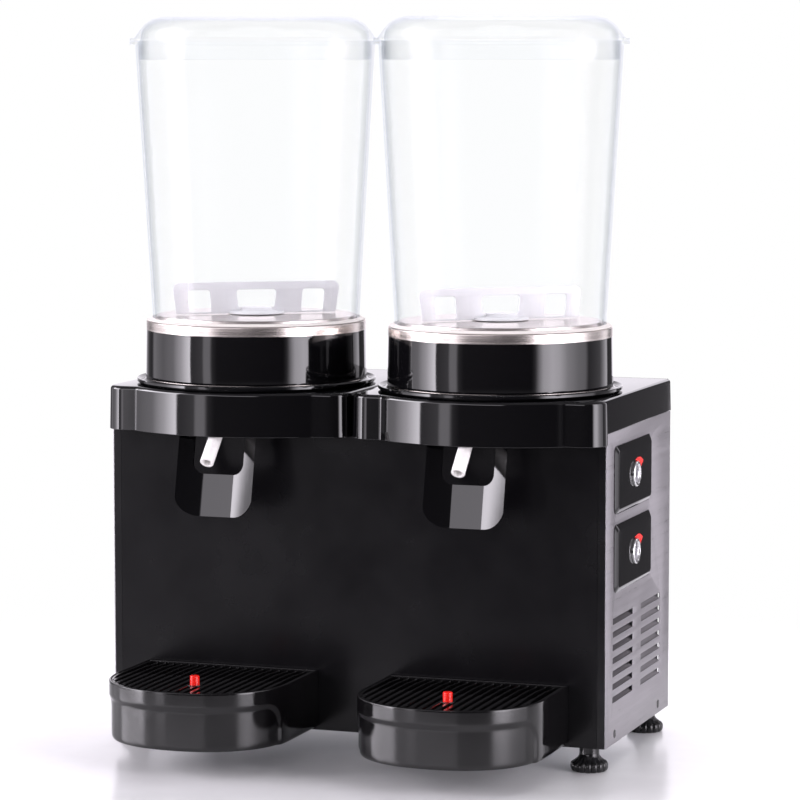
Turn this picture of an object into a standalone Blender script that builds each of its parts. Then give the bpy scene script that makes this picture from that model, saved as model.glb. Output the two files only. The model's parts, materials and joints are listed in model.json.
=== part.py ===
"""Twin-bowl refrigerated drink dispenser, modelled as its separate pieces.

Metres, +Z up, front towards -Y, origin on the counter under the middle of the whole machine.
Pieces are laid out from the machine's middle in X and from the front panel's face in Y, under
an empty that puts them in place. Each bowl's pieces hang on a second empty on the bowl's axis.
"""

import math

import bmesh
import bpy
from mathutils import Matrix, Vector

# ---------------------------------------------------------------- driving dimensions
BODY_HALF_WIDTH = 0.2795
COVER_HALF_WIDTH = 0.1403
COVER_SEAM = 0.0002
COVER_REAR = 0.259
TRAY_REACH = 0.175
KNOB_SEAT_X = 0.2806
KNOB_FACE_X = 0.2861
BEZEL_FACE_X = 0.2830
STATION_X = 0.140
MACHINE_PLACE = ((STATION_X + COVER_HALF_WIDTH - KNOB_FACE_X) / 2, (TRAY_REACH - COVER_REAR) / 2, 0)
STATION_DEPTH = 0.0732
SHEET = 0.0012
GAP = 0.0003

BODY_BOTTOM = 0.026
PANEL_TOP = 0.3575
DECK_Z = 0.3545
DECK_TOP = 0.3560
COVER_TOP = 0.393
COVER_SKIRT_BOTTOM = 0.3577
FASCIA_BOTTOM = 0.3455
FASCIA_REACH = 0.025
FASCIA_SLOPE = 0.0004
BULGE_FRONT = 0.131
BULGE_RADIUS = 0.173
CORNER_RADIUS = 0.024
COVER_WALL = 0.0025

COLLAR_RADIUS = 0.1198
COLLAR_FOOT_RADIUS = 0.121
COLLAR_BOTTOM = 0.3992
BAND_BOTTOM = 0.4525
FLANGE_Z = 0.4617
PLATE_Z = 0.4675
PLATE_RADIUS = 0.108
ROTOR_TOP = 0.4640
BOWL_FOOT_RADIUS = 0.1128
BOWL_TOP_RADIUS = 0.129
BOWL_FOOT_Z = 0.4640
BOWL_TOP_Z = 0.764
BOWL_WALL = 0.0025
RIM_RADIUS = 0.136
LID_TOP = 0.790

PADDLE_HALF_LENGTH = 0.094
PADDLE_BOTTOM = 0.4700
PADDLE_TOP = 0.5030
PADDLE_TURN = {"right": math.radians(39), "left": math.radians(33)}

OUTLET_REACH = 0.0952
TUBE_RADIUS = 0.00725
TUBE_BORE = 0.0050
TUBE_BEND = 0.020
TUBE_TIP_DROP = 0.0425
BEND_START_Z = 0.376

PIVOT_DEPTH = -0.020
PIVOT_Z = 0.352
PIN_RADIUS = 0.0025
LEVER_TILT = math.radians(12.5)
LEVER_HALF_WIDTH = 0.044
LEVER_SLOT_HALF = 0.029
LEVER_DROP = 0.0955
LEVER_SLOT_DROP = 0.0500

TRAY_HALF_WIDTH = 0.099
TRAY_SIDE = 0.083
TRAY_BOTTOM = 0.0295
TRAY_RIM = 0.0915
TRAY_FLOOR = 0.0435
TRAY_WALL = 0.0025
ARM_X = 0.057
GRILLE_PITCH = 0.0095
GRILLE_SLATS = 19
FLOAT_X = 0.007
FLOAT_DEPTH = -0.123

BEZEL_LENGTH = 0.142
BEZEL_HEIGHT = 0.072
BEZEL_DEPTH = 0.100
BEZEL_Z = {"upper": 0.3055, "lower": 0.2225}
KNOB_RADIUS = 0.0135

LOUVRE_LENGTH = 0.079
LOUVRE_PITCH = 0.0139
LOUVRE_ROWS = 7
LOUVRE_TOP_Z = 0.1537
LOUVRE_DEPTHS = (0.0665, 0.1785)

FAN_CENTRE = (0.150, 0.127, 0.116)
REAR_FACE = 0.2487
INLET_X = -0.225
INLET_Z = 0.070
PIPE_DEPTH = 0.125

FOOT_X = 0.258
FOOT_DEPTHS = {"front": 0.015, "rear": 0.2388}
FOOT_RADIUS = 0.0200
FOOT_BASE_HEIGHT = 0.0100
ROUND_STEPS = 28

COLOURS = {
    "gloss_black": ((0.012, 0.012, 0.013), 0.12, 0.0),
    "panel_black": ((0.020, 0.019, 0.021), 0.42, 0.0),
    "post_black": ((0.015, 0.015, 0.016), 0.35, 0.0),
    "stainless": ((0.60, 0.59, 0.58), 0.28, 1.0),
    "galvanised": ((0.52, 0.54, 0.55), 0.45, 0.9),
    "clear": ((0.92, 0.94, 0.96), 0.04, 0.0),
    "gasket_white": ((0.86, 0.86, 0.84), 0.50, 0.0),
    "paddle_white": ((0.82, 0.82, 0.82), 0.40, 0.0),
    "silicone": ((0.88, 0.88, 0.86), 0.45, 0.0),
    "foam": ((0.78, 0.76, 0.70), 0.85, 0.0),
    "red": ((0.75, 0.03, 0.02), 0.30, 0.0),
    "steel": ((0.45, 0.46, 0.47), 0.35, 1.0),
    "black_metal": ((0.03, 0.03, 0.033), 0.50, 0.3),
    "magnet": ((0.16, 0.16, 0.17), 0.55, 0.4),
    "copper": ((0.72, 0.36, 0.20), 0.30, 1.0),
    "tray_black": ((0.014, 0.014, 0.015), 0.20, 0.0),
    "knob_grey": ((0.50, 0.50, 0.52), 0.30, 0.6),
    "foot_black": ((0.010, 0.010, 0.011), 0.22, 0.0),
}

PARTS = bpy.data.collections.new("twin_drink_dispenser")
CUTTERS = bpy.data.collections.new("cutters")


# ---------------------------------------------------------------- modelling helpers
def clear_scene():
    for old in list(bpy.data.objects):
        bpy.data.objects.remove(old, do_unlink=True)
    for collection in (PARTS, CUTTERS):
        bpy.context.scene.collection.children.link(collection)


def material(slot):
    found = bpy.data.materials.get(slot)
    if found:
        return found
    colour, roughness, metallic = COLOURS[slot]
    made = bpy.data.materials.new(slot)
    made.use_nodes = True
    shader = made.node_tree.nodes["Principled BSDF"]
    shader.inputs["Base Color"].default_value = (*colour, 1)
    shader.inputs["Roughness"].default_value = roughness
    shader.inputs["Metallic"].default_value = metallic
    if slot == "clear":
        shader.inputs["Transmission Weight"].default_value = 1.0
        shader.inputs["IOR"].default_value = 1.58
    return made


def place_empty(name, location, parent=None):
    empty = bpy.data.objects.new(name, None)
    bpy.context.scene.collection.objects.link(empty)
    empty.location = location
    empty.parent = parent
    return empty


def as_part(mesh, name, slot, station=None, location=(0, 0, 0)):
    """Links the mesh as a named piece of the machine, or of one station."""
    mesh.materials.clear()
    mesh.materials.append(material(slot))
    part = bpy.data.objects.new(name, mesh)
    PARTS.objects.link(part)
    part.parent = station or bpy.data.objects["machine"]
    part.location = location
    return part


def combine(part, mesh, operation):
    """Adds, cuts or keeps the shape of a mesh given in the part's own frame."""
    helper = bpy.data.objects.new(part.name + "_cutter", mesh)
    CUTTERS.objects.link(helper)
    helper.hide_render = True
    helper.display_type = "WIRE"
    helper.parent = part
    modifier = part.modifiers.new(operation.lower(), "BOOLEAN")
    modifier.operation = operation
    modifier.object = helper


def cut(part, mesh):
    combine(part, mesh, "DIFFERENCE")


def unite(part, mesh):
    combine(part, mesh, "UNION")


def smooth(mesh, angle=30):
    mesh.shade_smooth()
    mesh.set_sharp_from_angle(angle=math.radians(angle))
    return mesh


def mesh_from(builder):
    """A new mesh filled by builder(bm)."""
    mesh = bpy.data.meshes.new("mesh")
    bm = bmesh.new()
    builder(bm)
    bm.to_mesh(mesh)
    bm.free()
    return mesh


def boxes(*corners):
    """One mesh of boxes, each given by its lowest and highest corner."""

    def build(bm):
        for low, high in corners:
            low, high = Vector(low), Vector(high)
            shape = Matrix.Translation((low + high) / 2) @ Matrix.Diagonal((*(high - low), 1))
            bmesh.ops.create_cube(bm, size=1, matrix=shape)

    return mesh_from(build)


def rods(radius, length, centres, axis="Z", steps=16):
    """Cylinders of one size, centred on the given points."""
    turn = {
        "X": Matrix.Rotation(math.pi / 2, 4, "Y"),
        "Y": Matrix.Rotation(math.pi / 2, 4, "X"),
        "Z": Matrix.Identity(4),
    }[axis]

    def build(bm):
        for centre in centres:
            bmesh.ops.create_cone(
                bm,
                cap_ends=True,
                segments=steps,
                radius1=radius,
                radius2=radius,
                depth=length,
                matrix=Matrix.Translation(centre) @ turn,
            )

    return smooth(mesh_from(build))


def evaluated_mesh(helper):
    """The helper's final mesh, welded, with the helper removed."""
    bpy.context.view_layer.update()
    graph = bpy.context.evaluated_depsgraph_get()
    mesh = bpy.data.meshes.new_from_object(helper.evaluated_get(graph))
    mesh.transform(helper.matrix_world)
    bm = bmesh.new()
    bm.from_mesh(mesh)
    bmesh.ops.remove_doubles(bm, verts=bm.verts, dist=1e-6)
    bmesh.ops.recalc_face_normals(bm, faces=bm.faces)
    bm.to_mesh(mesh)
    bm.free()
    bpy.data.objects.remove(helper, do_unlink=True)
    return mesh


def turned(profile, steps=ROUND_STEPS, closed=True):
    """Revolves a radius-height profile about Z, listed down its outer side. An open one ends on the axis."""
    mesh = bpy.data.meshes.new("profile")
    count = len(profile)
    edges = [(i, (i + 1) % count) for i in range(count if closed else count - 1)]
    mesh.from_pydata([(radius, 0, height) for radius, height in profile], edges, [])
    helper = bpy.data.objects.new("profile", mesh)
    bpy.context.scene.collection.objects.link(helper)
    screw = helper.modifiers.new("screw", "SCREW")
    screw.steps = screw.render_steps = steps
    screw.use_merge_vertices = True
    screw.merge_threshold = 0.00001
    return smooth(evaluated_mesh(helper))


def prism(outline, low, high, holes=()):
    """A flat outline of (x, y) points, with holes, extruded from z = low to z = high."""
    curve = bpy.data.curves.new("outline", "CURVE")
    curve.dimensions = "2D"
    curve.fill_mode = "BOTH"
    curve.extrude = (high - low) / 2
    for points in (outline, *holes):
        spline = curve.splines.new("POLY")
        spline.points.add(len(points) - 1)
        for spot, (x, y) in zip(spline.points, points):
            spot.co = (x, y, 0, 1)
        spline.use_cyclic_u = True
    helper = bpy.data.objects.new("outline", curve)
    bpy.context.scene.collection.objects.link(helper)
    helper.location.z = (low + high) / 2
    mesh = evaluated_mesh(helper)
    bm = bmesh.new()
    bm.from_mesh(mesh)
    bmesh.ops.dissolve_limit(bm, angle_limit=0.001, verts=bm.verts, edges=bm.edges)
    bm.to_mesh(mesh)
    bm.free()
    return smooth(mesh, 28)


def pipe(points, radius, bevel=2):
    """A round bar or wire along the points."""
    curve = bpy.data.curves.new("pipe", "CURVE")
    curve.dimensions = "3D"
    curve.bevel_depth = radius
    curve.bevel_resolution = bevel
    curve.use_fill_caps = True
    spline = curve.splines.new("POLY")
    spline.points.add(len(points) - 1)
    for spot, point in zip(spline.points, points):
        spot.co = (*point, 1)
    helper = bpy.data.objects.new("pipe", curve)
    bpy.context.scene.collection.objects.link(helper)
    return smooth(evaluated_mesh(helper), 40)


def moved(mesh, matrix):
    mesh.transform(matrix)
    return mesh


def arc(centre, radius, start, end, steps):
    """Points on an arc, angles in degrees."""
    x, y = centre
    angles = [math.radians(start + (end - start) * i / steps) for i in range(steps + 1)]
    return [(x + radius * math.cos(a), y + radius * math.sin(a)) for a in angles]


def rounded_rectangle(half_x, half_y, radius, steps=4):
    x, y = half_x - radius, half_y - radius
    corners = ((x, y, 0), (-x, y, 90), (-x, -y, 180), (x, -y, 270))
    return [point for cx, cy, start in corners for point in arc((cx, cy), radius, start, start + 90, steps)]


def side_prism(outline, low_x, high_x):
    """A prism whose outline lies in the Y-Z plane, extruded along X."""
    turn = Matrix.Rotation(math.pi / 2, 4, "Z") @ Matrix.Rotation(math.pi / 2, 4, "X")
    return moved(prism(outline, low_x, high_x), turn)


# ---------------------------------------------------------------- body
def base_pan():
    x, front, rear = BODY_HALF_WIDTH - 0.003, 0.0018, 0.2555
    wall = 0.0015
    pan = as_part(boxes(((-x, front, BODY_BOTTOM), (x, rear, 0.044))), "base_pan", "galvanised")
    inside = ((-x + wall, front + wall, BODY_BOTTOM + wall), (x - wall, rear - wall, 0.05))
    cut(pan, boxes(inside))
    studs = [(sign * FOOT_X, depth, BODY_BOTTOM) for sign in (1, -1) for depth in FOOT_DEPTHS.values()]
    cut(pan, rods(0.0056, 0.02, studs, steps=12))


def front_panel():
    """Painted sheet with a fold along the top and two support arms under each drip tray."""
    half, inner = 0.270, SHEET / 2
    panel = as_part(boxes(((-half, 0, BODY_BOTTOM), (half, SHEET, PANEL_TOP))), "front_panel", "panel_black")
    unite(panel, boxes(((-half + GAP, inner, PANEL_TOP - SHEET), (half - GAP, 0.012, PANEL_TOP - GAP))))
    top, reach, width = TRAY_FLOOR - TRAY_WALL - GAP, 0.070, 0.014
    middles = [station + side for station in (STATION_X, -STATION_X) for side in (ARM_X, -ARM_X)]
    arms = [((x - width / 2, -reach, top - 0.003), (x + width / 2, inner, top)) for x in middles]
    roots = [((x - width / 3, -0.004, top - 0.010), (x + width / 3, inner, top - 0.001)) for x in middles]
    unite(panel, boxes(*arms))
    unite(panel, boxes(*roots))


def corner_posts():
    for side, sign in (("right", 1), ("left", -1)):
        outer, inner = sign * (BODY_HALF_WIDTH - SHEET - GAP), sign * 0.2703
        deep, web = 0.020, 0.002
        low_x, high_x = sorted((outer, inner))
        face = ((low_x, 0, BODY_BOTTOM + 0.0185), (high_x, web, PANEL_TOP))
        web_x = sorted((outer, outer - sign * web))
        post = as_part(boxes(face), "corner_post_" + side, "post_black")
        unite(post, boxes(((web_x[0], 0, BODY_BOTTOM + 0.0185), (web_x[1], deep, PANEL_TOP))))
        unite(post, boxes(((low_x, 0, BODY_BOTTOM), (high_x, 0.0015, BODY_BOTTOM + 0.020))))


def louvre_slots(sign, columns):
    """Slot boxes and the flaps pressed in behind them, hinged along each slot's lower edge."""
    outer = sign * BODY_HALF_WIDTH
    slots, flaps = [], []
    for depth in columns:
        for row in range(LOUVRE_ROWS):
            low = LOUVRE_TOP_Z - row * LOUVRE_PITCH
            front, rear = depth - LOUVRE_LENGTH / 2, depth + LOUVRE_LENGTH / 2
            across = sorted((outer + sign * 0.002, outer - sign * 0.004))
            slots.append(((across[0], front, low), (across[1], rear, low + 0.0062)))
            across = sorted((outer - sign * 0.0004, outer - sign * 0.0056))
            flap_low = (across[0], front + 0.0004, low - 0.0010)
            flaps.append((flap_low, (across[1], rear - 0.0004, low + 0.0001)))
    return boxes(*slots), boxes(*flaps)


def side_panels():
    for side, sign in (("right", 1), ("left", -1)):
        outer = sign * BODY_HALF_WIDTH
        x = sorted((outer, outer - sign * SHEET))
        fold = sorted((outer, outer - sign * 0.010))
        front, rear = 0.0002, 0.257
        sheet = boxes(((x[0], front, BODY_BOTTOM), (x[1], rear, PANEL_TOP)))
        panel = as_part(sheet, "side_panel_" + side, "stainless")
        unite(panel, boxes(((fold[0], rear - SHEET, BODY_BOTTOM), (fold[1], rear, PANEL_TOP))))
        slots, flaps = louvre_slots(sign, LOUVRE_DEPTHS)
        cut(panel, slots)
        unite(panel, flaps)
        if side == "right":
            for z in BEZEL_Z.values():
                half_y, half_z = BEZEL_LENGTH / 2 - 0.006, BEZEL_HEIGHT / 2 - 0.006
                middle = BEZEL_DEPTH
                low = (outer - 0.01, middle - half_y, z - half_z)
                cut(panel, boxes((low, (outer + 0.01, middle + half_y, z + half_z))))


def rear_panel():
    near, far = REAR_FACE - SHEET, REAR_FACE
    half = BODY_HALF_WIDTH - 0.0105
    sheet = boxes(((-half, near, BODY_BOTTOM + 0.0018), (half, far, PANEL_TOP)))
    panel = as_part(sheet, "rear_panel", "galvanised")
    middles, rows, first, pitch, half_length, high = (-0.120, 0.120), 7, 0.120, 0.020, 0.060, 0.006
    slots = []
    for middle in middles:
        for row in range(rows):
            z = first + row * pitch
            low = (middle - half_length, near - 0.01, z)
            slots.append((low, (middle + half_length, far + 0.01, z + high)))
    cut(panel, boxes(*slots))
    cut(panel, rods(0.0083, 0.02, [(INLET_X, near, INLET_Z)], "Y", 12))


def power_inlet():
    """Cord gland in the rear panel: the flange outside, the body and its nut inside."""
    neck, inner_end = 0.0080, -0.016
    profile = [(0.0, 0.0085), (0.006, 0.0085), (0.011, 0.005), (0.012, GAP)]
    profile += [(neck, GAP), (neck, inner_end), (0.0, inner_end)]
    mesh = turned(profile, 12, closed=False)
    place = Matrix.Translation((INLET_X, REAR_FACE, INLET_Z)) @ Matrix.Rotation(-math.pi / 2, 4, "X")
    as_part(moved(mesh, place), "power_inlet", "post_black")


def deck_plate():
    """Plate under the covers that the motors stand on, with a hole at the back for each cold line."""
    half = 0.2755
    plate = ((-half, 0.0023, DECK_Z), (half, 0.2470, DECK_TOP))
    deck = as_part(boxes(plate), "deck_plate", "galvanised")
    ways = [(sign * STATION_X, STATION_DEPTH + 0.085, DECK_Z) for sign in (1, -1)]
    cut(deck, rods(0.012, 0.02, ways, steps=12))


def feet():
    """Screw feet: a lobed base, a flared neck and a threaded stud."""
    lobes, base_radius, dip = 16, FOOT_RADIUS, 0.0013
    outline = []
    for i in range(lobes * 2):
        radius = base_radius - dip * (i % 2)
        angle = math.tau * i / (lobes * 2)
        outline.append((radius * math.cos(angle), radius * math.sin(angle)))
    stud, neck, shoulder, seat = 0.0047, 0.0105, 0.0170, FOOT_BASE_HEIGHT - 0.0001
    profile = [(0.0, 0.0400), (stud, 0.0400), (stud, BODY_BOTTOM - 0.0004), (neck, BODY_BOTTOM - 0.0004)]
    profile += [(neck, shoulder), (base_radius - 0.0020, seat), (0.0, seat)]
    for end, depth in FOOT_DEPTHS.items():
        for side, sign in (("right", 1), ("left", -1)):
            base = prism(outline, 0.0, FOOT_BASE_HEIGHT)
            foot = as_part(base, f"foot_{end}_{side}", "foot_black", location=(sign * FOOT_X, depth, 0))
            unite(foot, turned(profile, 16, closed=False))


# ---------------------------------------------------------------- covers
def cover_outline(side, inset=0.0):
    """Plan of one top cover about its bowl axis: straight back and sides, and a shallow bow in front."""
    left = -COVER_HALF_WIDTH if side == "left" else -STATION_X + COVER_SEAM
    right = STATION_X - COVER_SEAM if side == "left" else COVER_HALF_WIDTH
    left, right = left + inset, right - inset
    rear = COVER_REAR - STATION_DEPTH - inset
    flat = -FASCIA_REACH - STATION_DEPTH + inset
    corner, bulge = CORNER_RADIUS - inset, BULGE_RADIUS - inset
    centre = BULGE_RADIUS - BULGE_FRONT
    crease = math.degrees(math.asin((centre + FASCIA_SLOPE - flat) / bulge))
    points = [(right, rear), (left, rear)]
    points += arc((left + corner, flat + corner), corner, 180, 270, 5)
    points += arc((0, centre), bulge, 180 + crease, 360 - crease, 16)
    points += arc((right - corner, flat + corner), corner, 270, 360, 5)
    return points


def top_cover(side, station):
    shell = prism(cover_outline(side), FASCIA_BOTTOM, COVER_TOP)
    cover = as_part(shell, "top_cover_" + side, "gloss_black", station)
    cut(cover, prism(cover_outline(side, COVER_WALL), FASCIA_BOTTOM - 0.01, COVER_TOP - COVER_WALL))
    skirt_front = -STATION_DEPTH - GAP
    cut(cover, boxes(((-0.2, skirt_front, FASCIA_BOTTOM - 0.01), (0.2, 0.3, COVER_SKIRT_BOTTOM + GAP))))
    cut(cover, rods(0.055, 0.02, [(0, 0, COVER_TOP)], steps=24))
    cut(cover, rods(0.0115, 0.02, [(0, -OUTLET_REACH, COVER_TOP)], steps=12))


# ---------------------------------------------------------------- bowl stack
def drip_gutter(side, station):
    z = COVER_TOP
    profile = [
        (0.1212, z + 0.0058),
        (0.1228, z + 0.0048),
        (0.1262, z + 0.0032),
        (0.1298, z + 0.0060),
        (0.1307, z + 0.0058),
        (0.1305, z + 0.0026),
        (0.1275, z + GAP),
        (0.1165, z + GAP),
        (0.1165, z + 0.0058),
    ]
    as_part(turned(profile), "drip_gutter_" + side, "gloss_black", station)


def collar(side, station):
    wall = 0.0030
    top = BAND_BOTTOM - GAP
    profile = [(COLLAR_RADIUS, top), (COLLAR_FOOT_RADIUS, COLLAR_BOTTOM)]
    profile += [(COLLAR_FOOT_RADIUS - wall, COLLAR_BOTTOM), (COLLAR_RADIUS - wall, top)]
    as_part(turned(profile), "collar_" + side, "gloss_black", station)


def insulation_block(side, station):
    low, high = COVER_TOP + GAP, BAND_BOTTOM - 0.001
    profile = [(0.1155, high), (0.1155, low), (0.050, low), (0.050, high)]
    block = as_part(turned(profile, 24), "insulation_block_" + side, "foam", station)
    cut(block, rods(0.0095, 0.2, [(0, -OUTLET_REACH, 0.42)], steps=12))


def cold_plate(side, station):
    """Spun stainless plate with a rolled band, a centre spigot and the drink outlet."""
    skin = 0.0010
    profile = [
        (0.0, PLATE_Z + 0.0060),
        (0.0040, PLATE_Z + 0.0060),
        (0.0040, PLATE_Z),
        (PLATE_RADIUS, PLATE_Z),
        (0.1095, FLANGE_Z),
        (COLLAR_RADIUS, FLANGE_Z),
        (COLLAR_RADIUS, BAND_BOTTOM),
        (COLLAR_RADIUS - skin, BAND_BOTTOM),
        (COLLAR_RADIUS - skin, FLANGE_Z - skin),
        (0.1085, FLANGE_Z - skin),
        (PLATE_RADIUS - skin, PLATE_Z - skin),
        (0.0, PLATE_Z - skin),
    ]
    plate = as_part(turned(profile, closed=False), "cold_plate_" + side, "stainless", station)
    unite(plate, rods(0.0045, 0.083, [(0, -OUTLET_REACH, PLATE_Z - 0.0005 - 0.0415)], steps=12))
    cut(plate, rods(0.0033, 0.12, [(0, -OUTLET_REACH, 0.43)], steps=12))


def bowl_gasket(side, station):
    profile = [
        (0.1136, BOWL_FOOT_Z + 0.0010),
        (0.1158, BOWL_FOOT_Z - 0.0002),
        (0.1190, FLANGE_Z + 0.0010),
        (0.1190, FLANGE_Z + GAP),
        (0.1102, FLANGE_Z + GAP),
        (0.1102, BOWL_FOOT_Z - GAP),
        (0.1133, BOWL_FOOT_Z - GAP),
    ]
    as_part(turned(profile), "bowl_gasket_" + side, "gasket_white", station)


def bowl(side, station):
    shoulder_z = BOWL_TOP_Z - 0.0035
    shoulder = BOWL_TOP_RADIUS + 0.0008
    profile = [
        (RIM_RADIUS, BOWL_TOP_Z),
        (RIM_RADIUS, shoulder_z),
        (shoulder, shoulder_z),
        (BOWL_FOOT_RADIUS, BOWL_FOOT_Z),
        (BOWL_FOOT_RADIUS - BOWL_WALL, BOWL_FOOT_Z),
        (shoulder - BOWL_WALL, BOWL_TOP_Z),
    ]
    as_part(turned(profile), "bowl_" + side, "clear", station)


def lid(side, station):
    """Domed lid: a flange on the bowl's rim and a plug skirt inside it."""
    low = BOWL_TOP_Z + GAP
    wall = 0.0020
    profile = [
        (0.0, LID_TOP),
        (0.1000, LID_TOP - 0.0006),
        (0.1110, LID_TOP - 0.0028),
        (0.1200, LID_TOP - 0.0080),
        (0.1295, low + 0.0032),
        (RIM_RADIUS, low + 0.0028),
        (RIM_RADIUS, low),
        (0.1262, low),
        (0.1258, low - 0.0200),
        (0.1238, low - 0.0200),
        (0.1242, low + 0.0020),
        (0.1185, LID_TOP - 0.0102),
        (0.1098, LID_TOP - 0.0050),
        (0.0, LID_TOP - 0.0006 - wall),
    ]
    as_part(turned(profile, closed=False), "lid_" + side, "clear", station)


def paddle(side, station):
    """Flat stirring blade on a magnetic hub, turning on the cold plate's spigot."""
    long, high = PADDLE_HALF_LENGTH, PADDLE_TOP - PADDLE_BOTTOM
    foot, round_off, band, half_blade = 0.0885, 0.008, 0.0085, 0.0013
    half = [(foot, 0.0)] + arc((long - round_off, high - round_off), round_off, 0, 90, 4)
    outline = half + [(-x, z) for x, z in reversed(half)]
    sill, window_top = 0.0055, high - band
    middle = [(0.0200, sill), (0.0225, window_top), (-0.0225, window_top), (-0.0200, sill)]
    blade = prism(outline, -half_blade, half_blade, [middle])
    upright = Matrix.Translation((0, 0, PADDLE_BOTTOM)) @ Matrix.Rotation(math.pi / 2, 4, "X")
    part = as_part(moved(blade, upright), "paddle_" + side, "paddle_white", station)
    for sign in (1, -1):
        window = [(0.0500, -0.001), (0.0740, -0.001), (0.0765, window_top), (0.0515, window_top)]
        opening = prism([(sign * x, z) for x, z in window], -0.01, 0.01)
        cut(part, moved(opening, upright))
    hub_low, hub_high, bore = PLATE_Z + 0.0012, PLATE_Z + 0.0078, 0.0044
    roof = PLATE_Z + 0.0066
    rim = hub_low + 0.0022
    profile = [(0.0, hub_high), (0.016, hub_high), (0.018, rim + 0.0008), (0.030, rim), (0.031, hub_low)]
    profile += [(bore, hub_low), (bore, roof), (0.0, roof)]
    unite(part, turned(profile, 24, closed=False))
    cut(part, rods(bore, 0.010, [(0, 0, PLATE_Z + 0.0016)], steps=24))
    part.rotation_euler.z = PADDLE_TURN[side]


def agitator_motor(side, station):
    """Gear motor on the deck, with its shaft up to the magnet rotor."""
    low, half, body, gearbox = DECK_TOP + GAP, 0.032, 0.032, 0.054
    box = boxes(((-half, -half, low), (half, half, low + body)))
    motor = as_part(box, "agitator_motor_" + side, "black_metal", station)
    unite(motor, rods(0.026, gearbox, [(0, 0, low + gearbox / 2)], steps=16))
    shaft = ROTOR_TOP - 0.001 - low
    unite(motor, rods(0.0040, shaft, [(0, 0, low + shaft / 2 + 0.0005)], steps=12))


def magnet_rotor(side, station):
    low, boss, bore = ROTOR_TOP - 0.0125, ROTOR_TOP - 0.0245, 0.0043
    profile = [(0.034, ROTOR_TOP), (0.034, low), (0.010, low), (0.010, boss), (bore, boss), (bore, ROTOR_TOP)]
    as_part(turned(profile, 16), "magnet_rotor_" + side, "magnet", station)


# ---------------------------------------------------------------- tap
def from_panel(depth, z, x=0.0):
    """A point in the station's frame from its depth behind the front panel's face."""
    return Vector((x, depth - STATION_DEPTH, z))


def tube_route(overrun=0.0):
    start = STATION_DEPTH - OUTLET_REACH
    route = [(start, 0.400 + overrun)]
    for point in arc((start - TUBE_BEND, BEND_START_Z), TUBE_BEND, 0, -45, 5):
        route.append(point)
    depth, z = route[-1]
    run = TUBE_TIP_DROP + overrun
    route.append((depth - run, z - run))
    return [from_panel(depth, z) for depth, z in route]


def tap_tube(side, station):
    tube = as_part(pipe(tube_route(), TUBE_RADIUS, 4), "tap_tube_" + side, "silicone", station)
    cut(tube, pipe(tube_route(0.004), TUBE_BORE, 4))


def tap_body(side, station):
    """Bracket under the cover: two cheeks for the lever's pin and the anvil the tube is pinched on."""
    cheeks = []
    for sign in (1, -1):
        x = sorted((sign * 0.0200, sign * 0.0225))
        cheeks.append((from_panel(-0.027, 0.345, x[0]), from_panel(-0.008, 0.3885, x[1])))
    plate = boxes((from_panel(-0.027, 0.3868, -0.030), from_panel(-0.006, 0.3895, 0.030)))
    body = as_part(plate, "tap_body_" + side, "post_black", station)
    unite(body, boxes(*cheeks))
    unite(body, boxes((from_panel(-0.0143, 0.362, -0.021), from_panel(-0.0100, 0.380, 0.021))))
    cut(body, rods(0.0085, 0.02, [from_panel(STATION_DEPTH - OUTLET_REACH, 0.388)], steps=16))
    cut(body, rods(PIN_RADIUS + GAP, 0.1, [from_panel(PIVOT_DEPTH, PIVOT_Z)], "X", 12))


def lever_pin(side, station):
    shank = rods(PIN_RADIUS, 0.0900, [(0, 0, 0)], "X", 12)
    pin = as_part(shank, "lever_pin_" + side, "steel", station, from_panel(PIVOT_DEPTH, PIVOT_Z))
    unite(pin, rods(0.0042, 0.0016, [(-0.0454, 0, 0), (0.0454, 0, 0)], "X", 12))


def lever_spring(side, station):
    """Torsion spring round the pin, one leg on the anvil and one in front of the pinch bar."""
    coil, wire, turns, per_turn = 0.0046, 0.0007, 3.5, 8
    start_x, end_x = 0.0100, 0.0175
    points = [from_panel(-0.0155, 0.372, start_x)]
    count = int(turns * per_turn)
    for i in range(count + 1):
        angle = -math.tau * turns * i / count
        x = start_x + (end_x - start_x) * i / count
        points.append(from_panel(PIVOT_DEPTH + coil * math.cos(angle), PIVOT_Z + coil * math.sin(angle), x))
    points.append(from_panel(-0.0386, 0.3742, end_x))
    as_part(pipe(points, wire, 1), "lever_spring_" + side, "steel", station)


def lever_section():
    """Plan of the lever's plate: a flat middle and wings that sweep forward, 3 mm thick."""
    flat, thick = 0.0139, 0.0030
    front = [(flat, 0.0), (0.0230, -0.0014), (0.0320, -0.0046), (0.0390, -0.0085)]
    front.append((LEVER_HALF_WIDTH, -0.0125))
    back = [(0.0426, -0.0098), (0.0375, -0.0056), (0.0308, -0.0016), (0.0224, 0.0016), (flat, thick)]
    right = front + back
    left = [(-x, y) for x, y in reversed(right)]
    return right + left


def lever_silhouette():
    """Front view: a round-cornered pad below two arms, either side of the slot the tube hangs in."""
    half, slot, drop, slot_drop = LEVER_HALF_WIDTH + 0.001, LEVER_SLOT_HALF, LEVER_DROP, LEVER_SLOT_DROP
    pad_round, slot_round, top = 0.024, 0.012, 0.006
    right = [(slot, top), (half - 0.002, top), (half, -0.030)]
    right += arc((half - pad_round, -drop + pad_round), pad_round, 0, -90, 6)
    left = [(-x, z) for x, z in reversed(right)]
    notch = arc((-slot + slot_round, -slot_drop + slot_round), slot_round, 180, 270, 4)
    notch += arc((slot - slot_round, -slot_drop + slot_round), slot_round, 270, 360, 4)
    return right + left + notch


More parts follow.
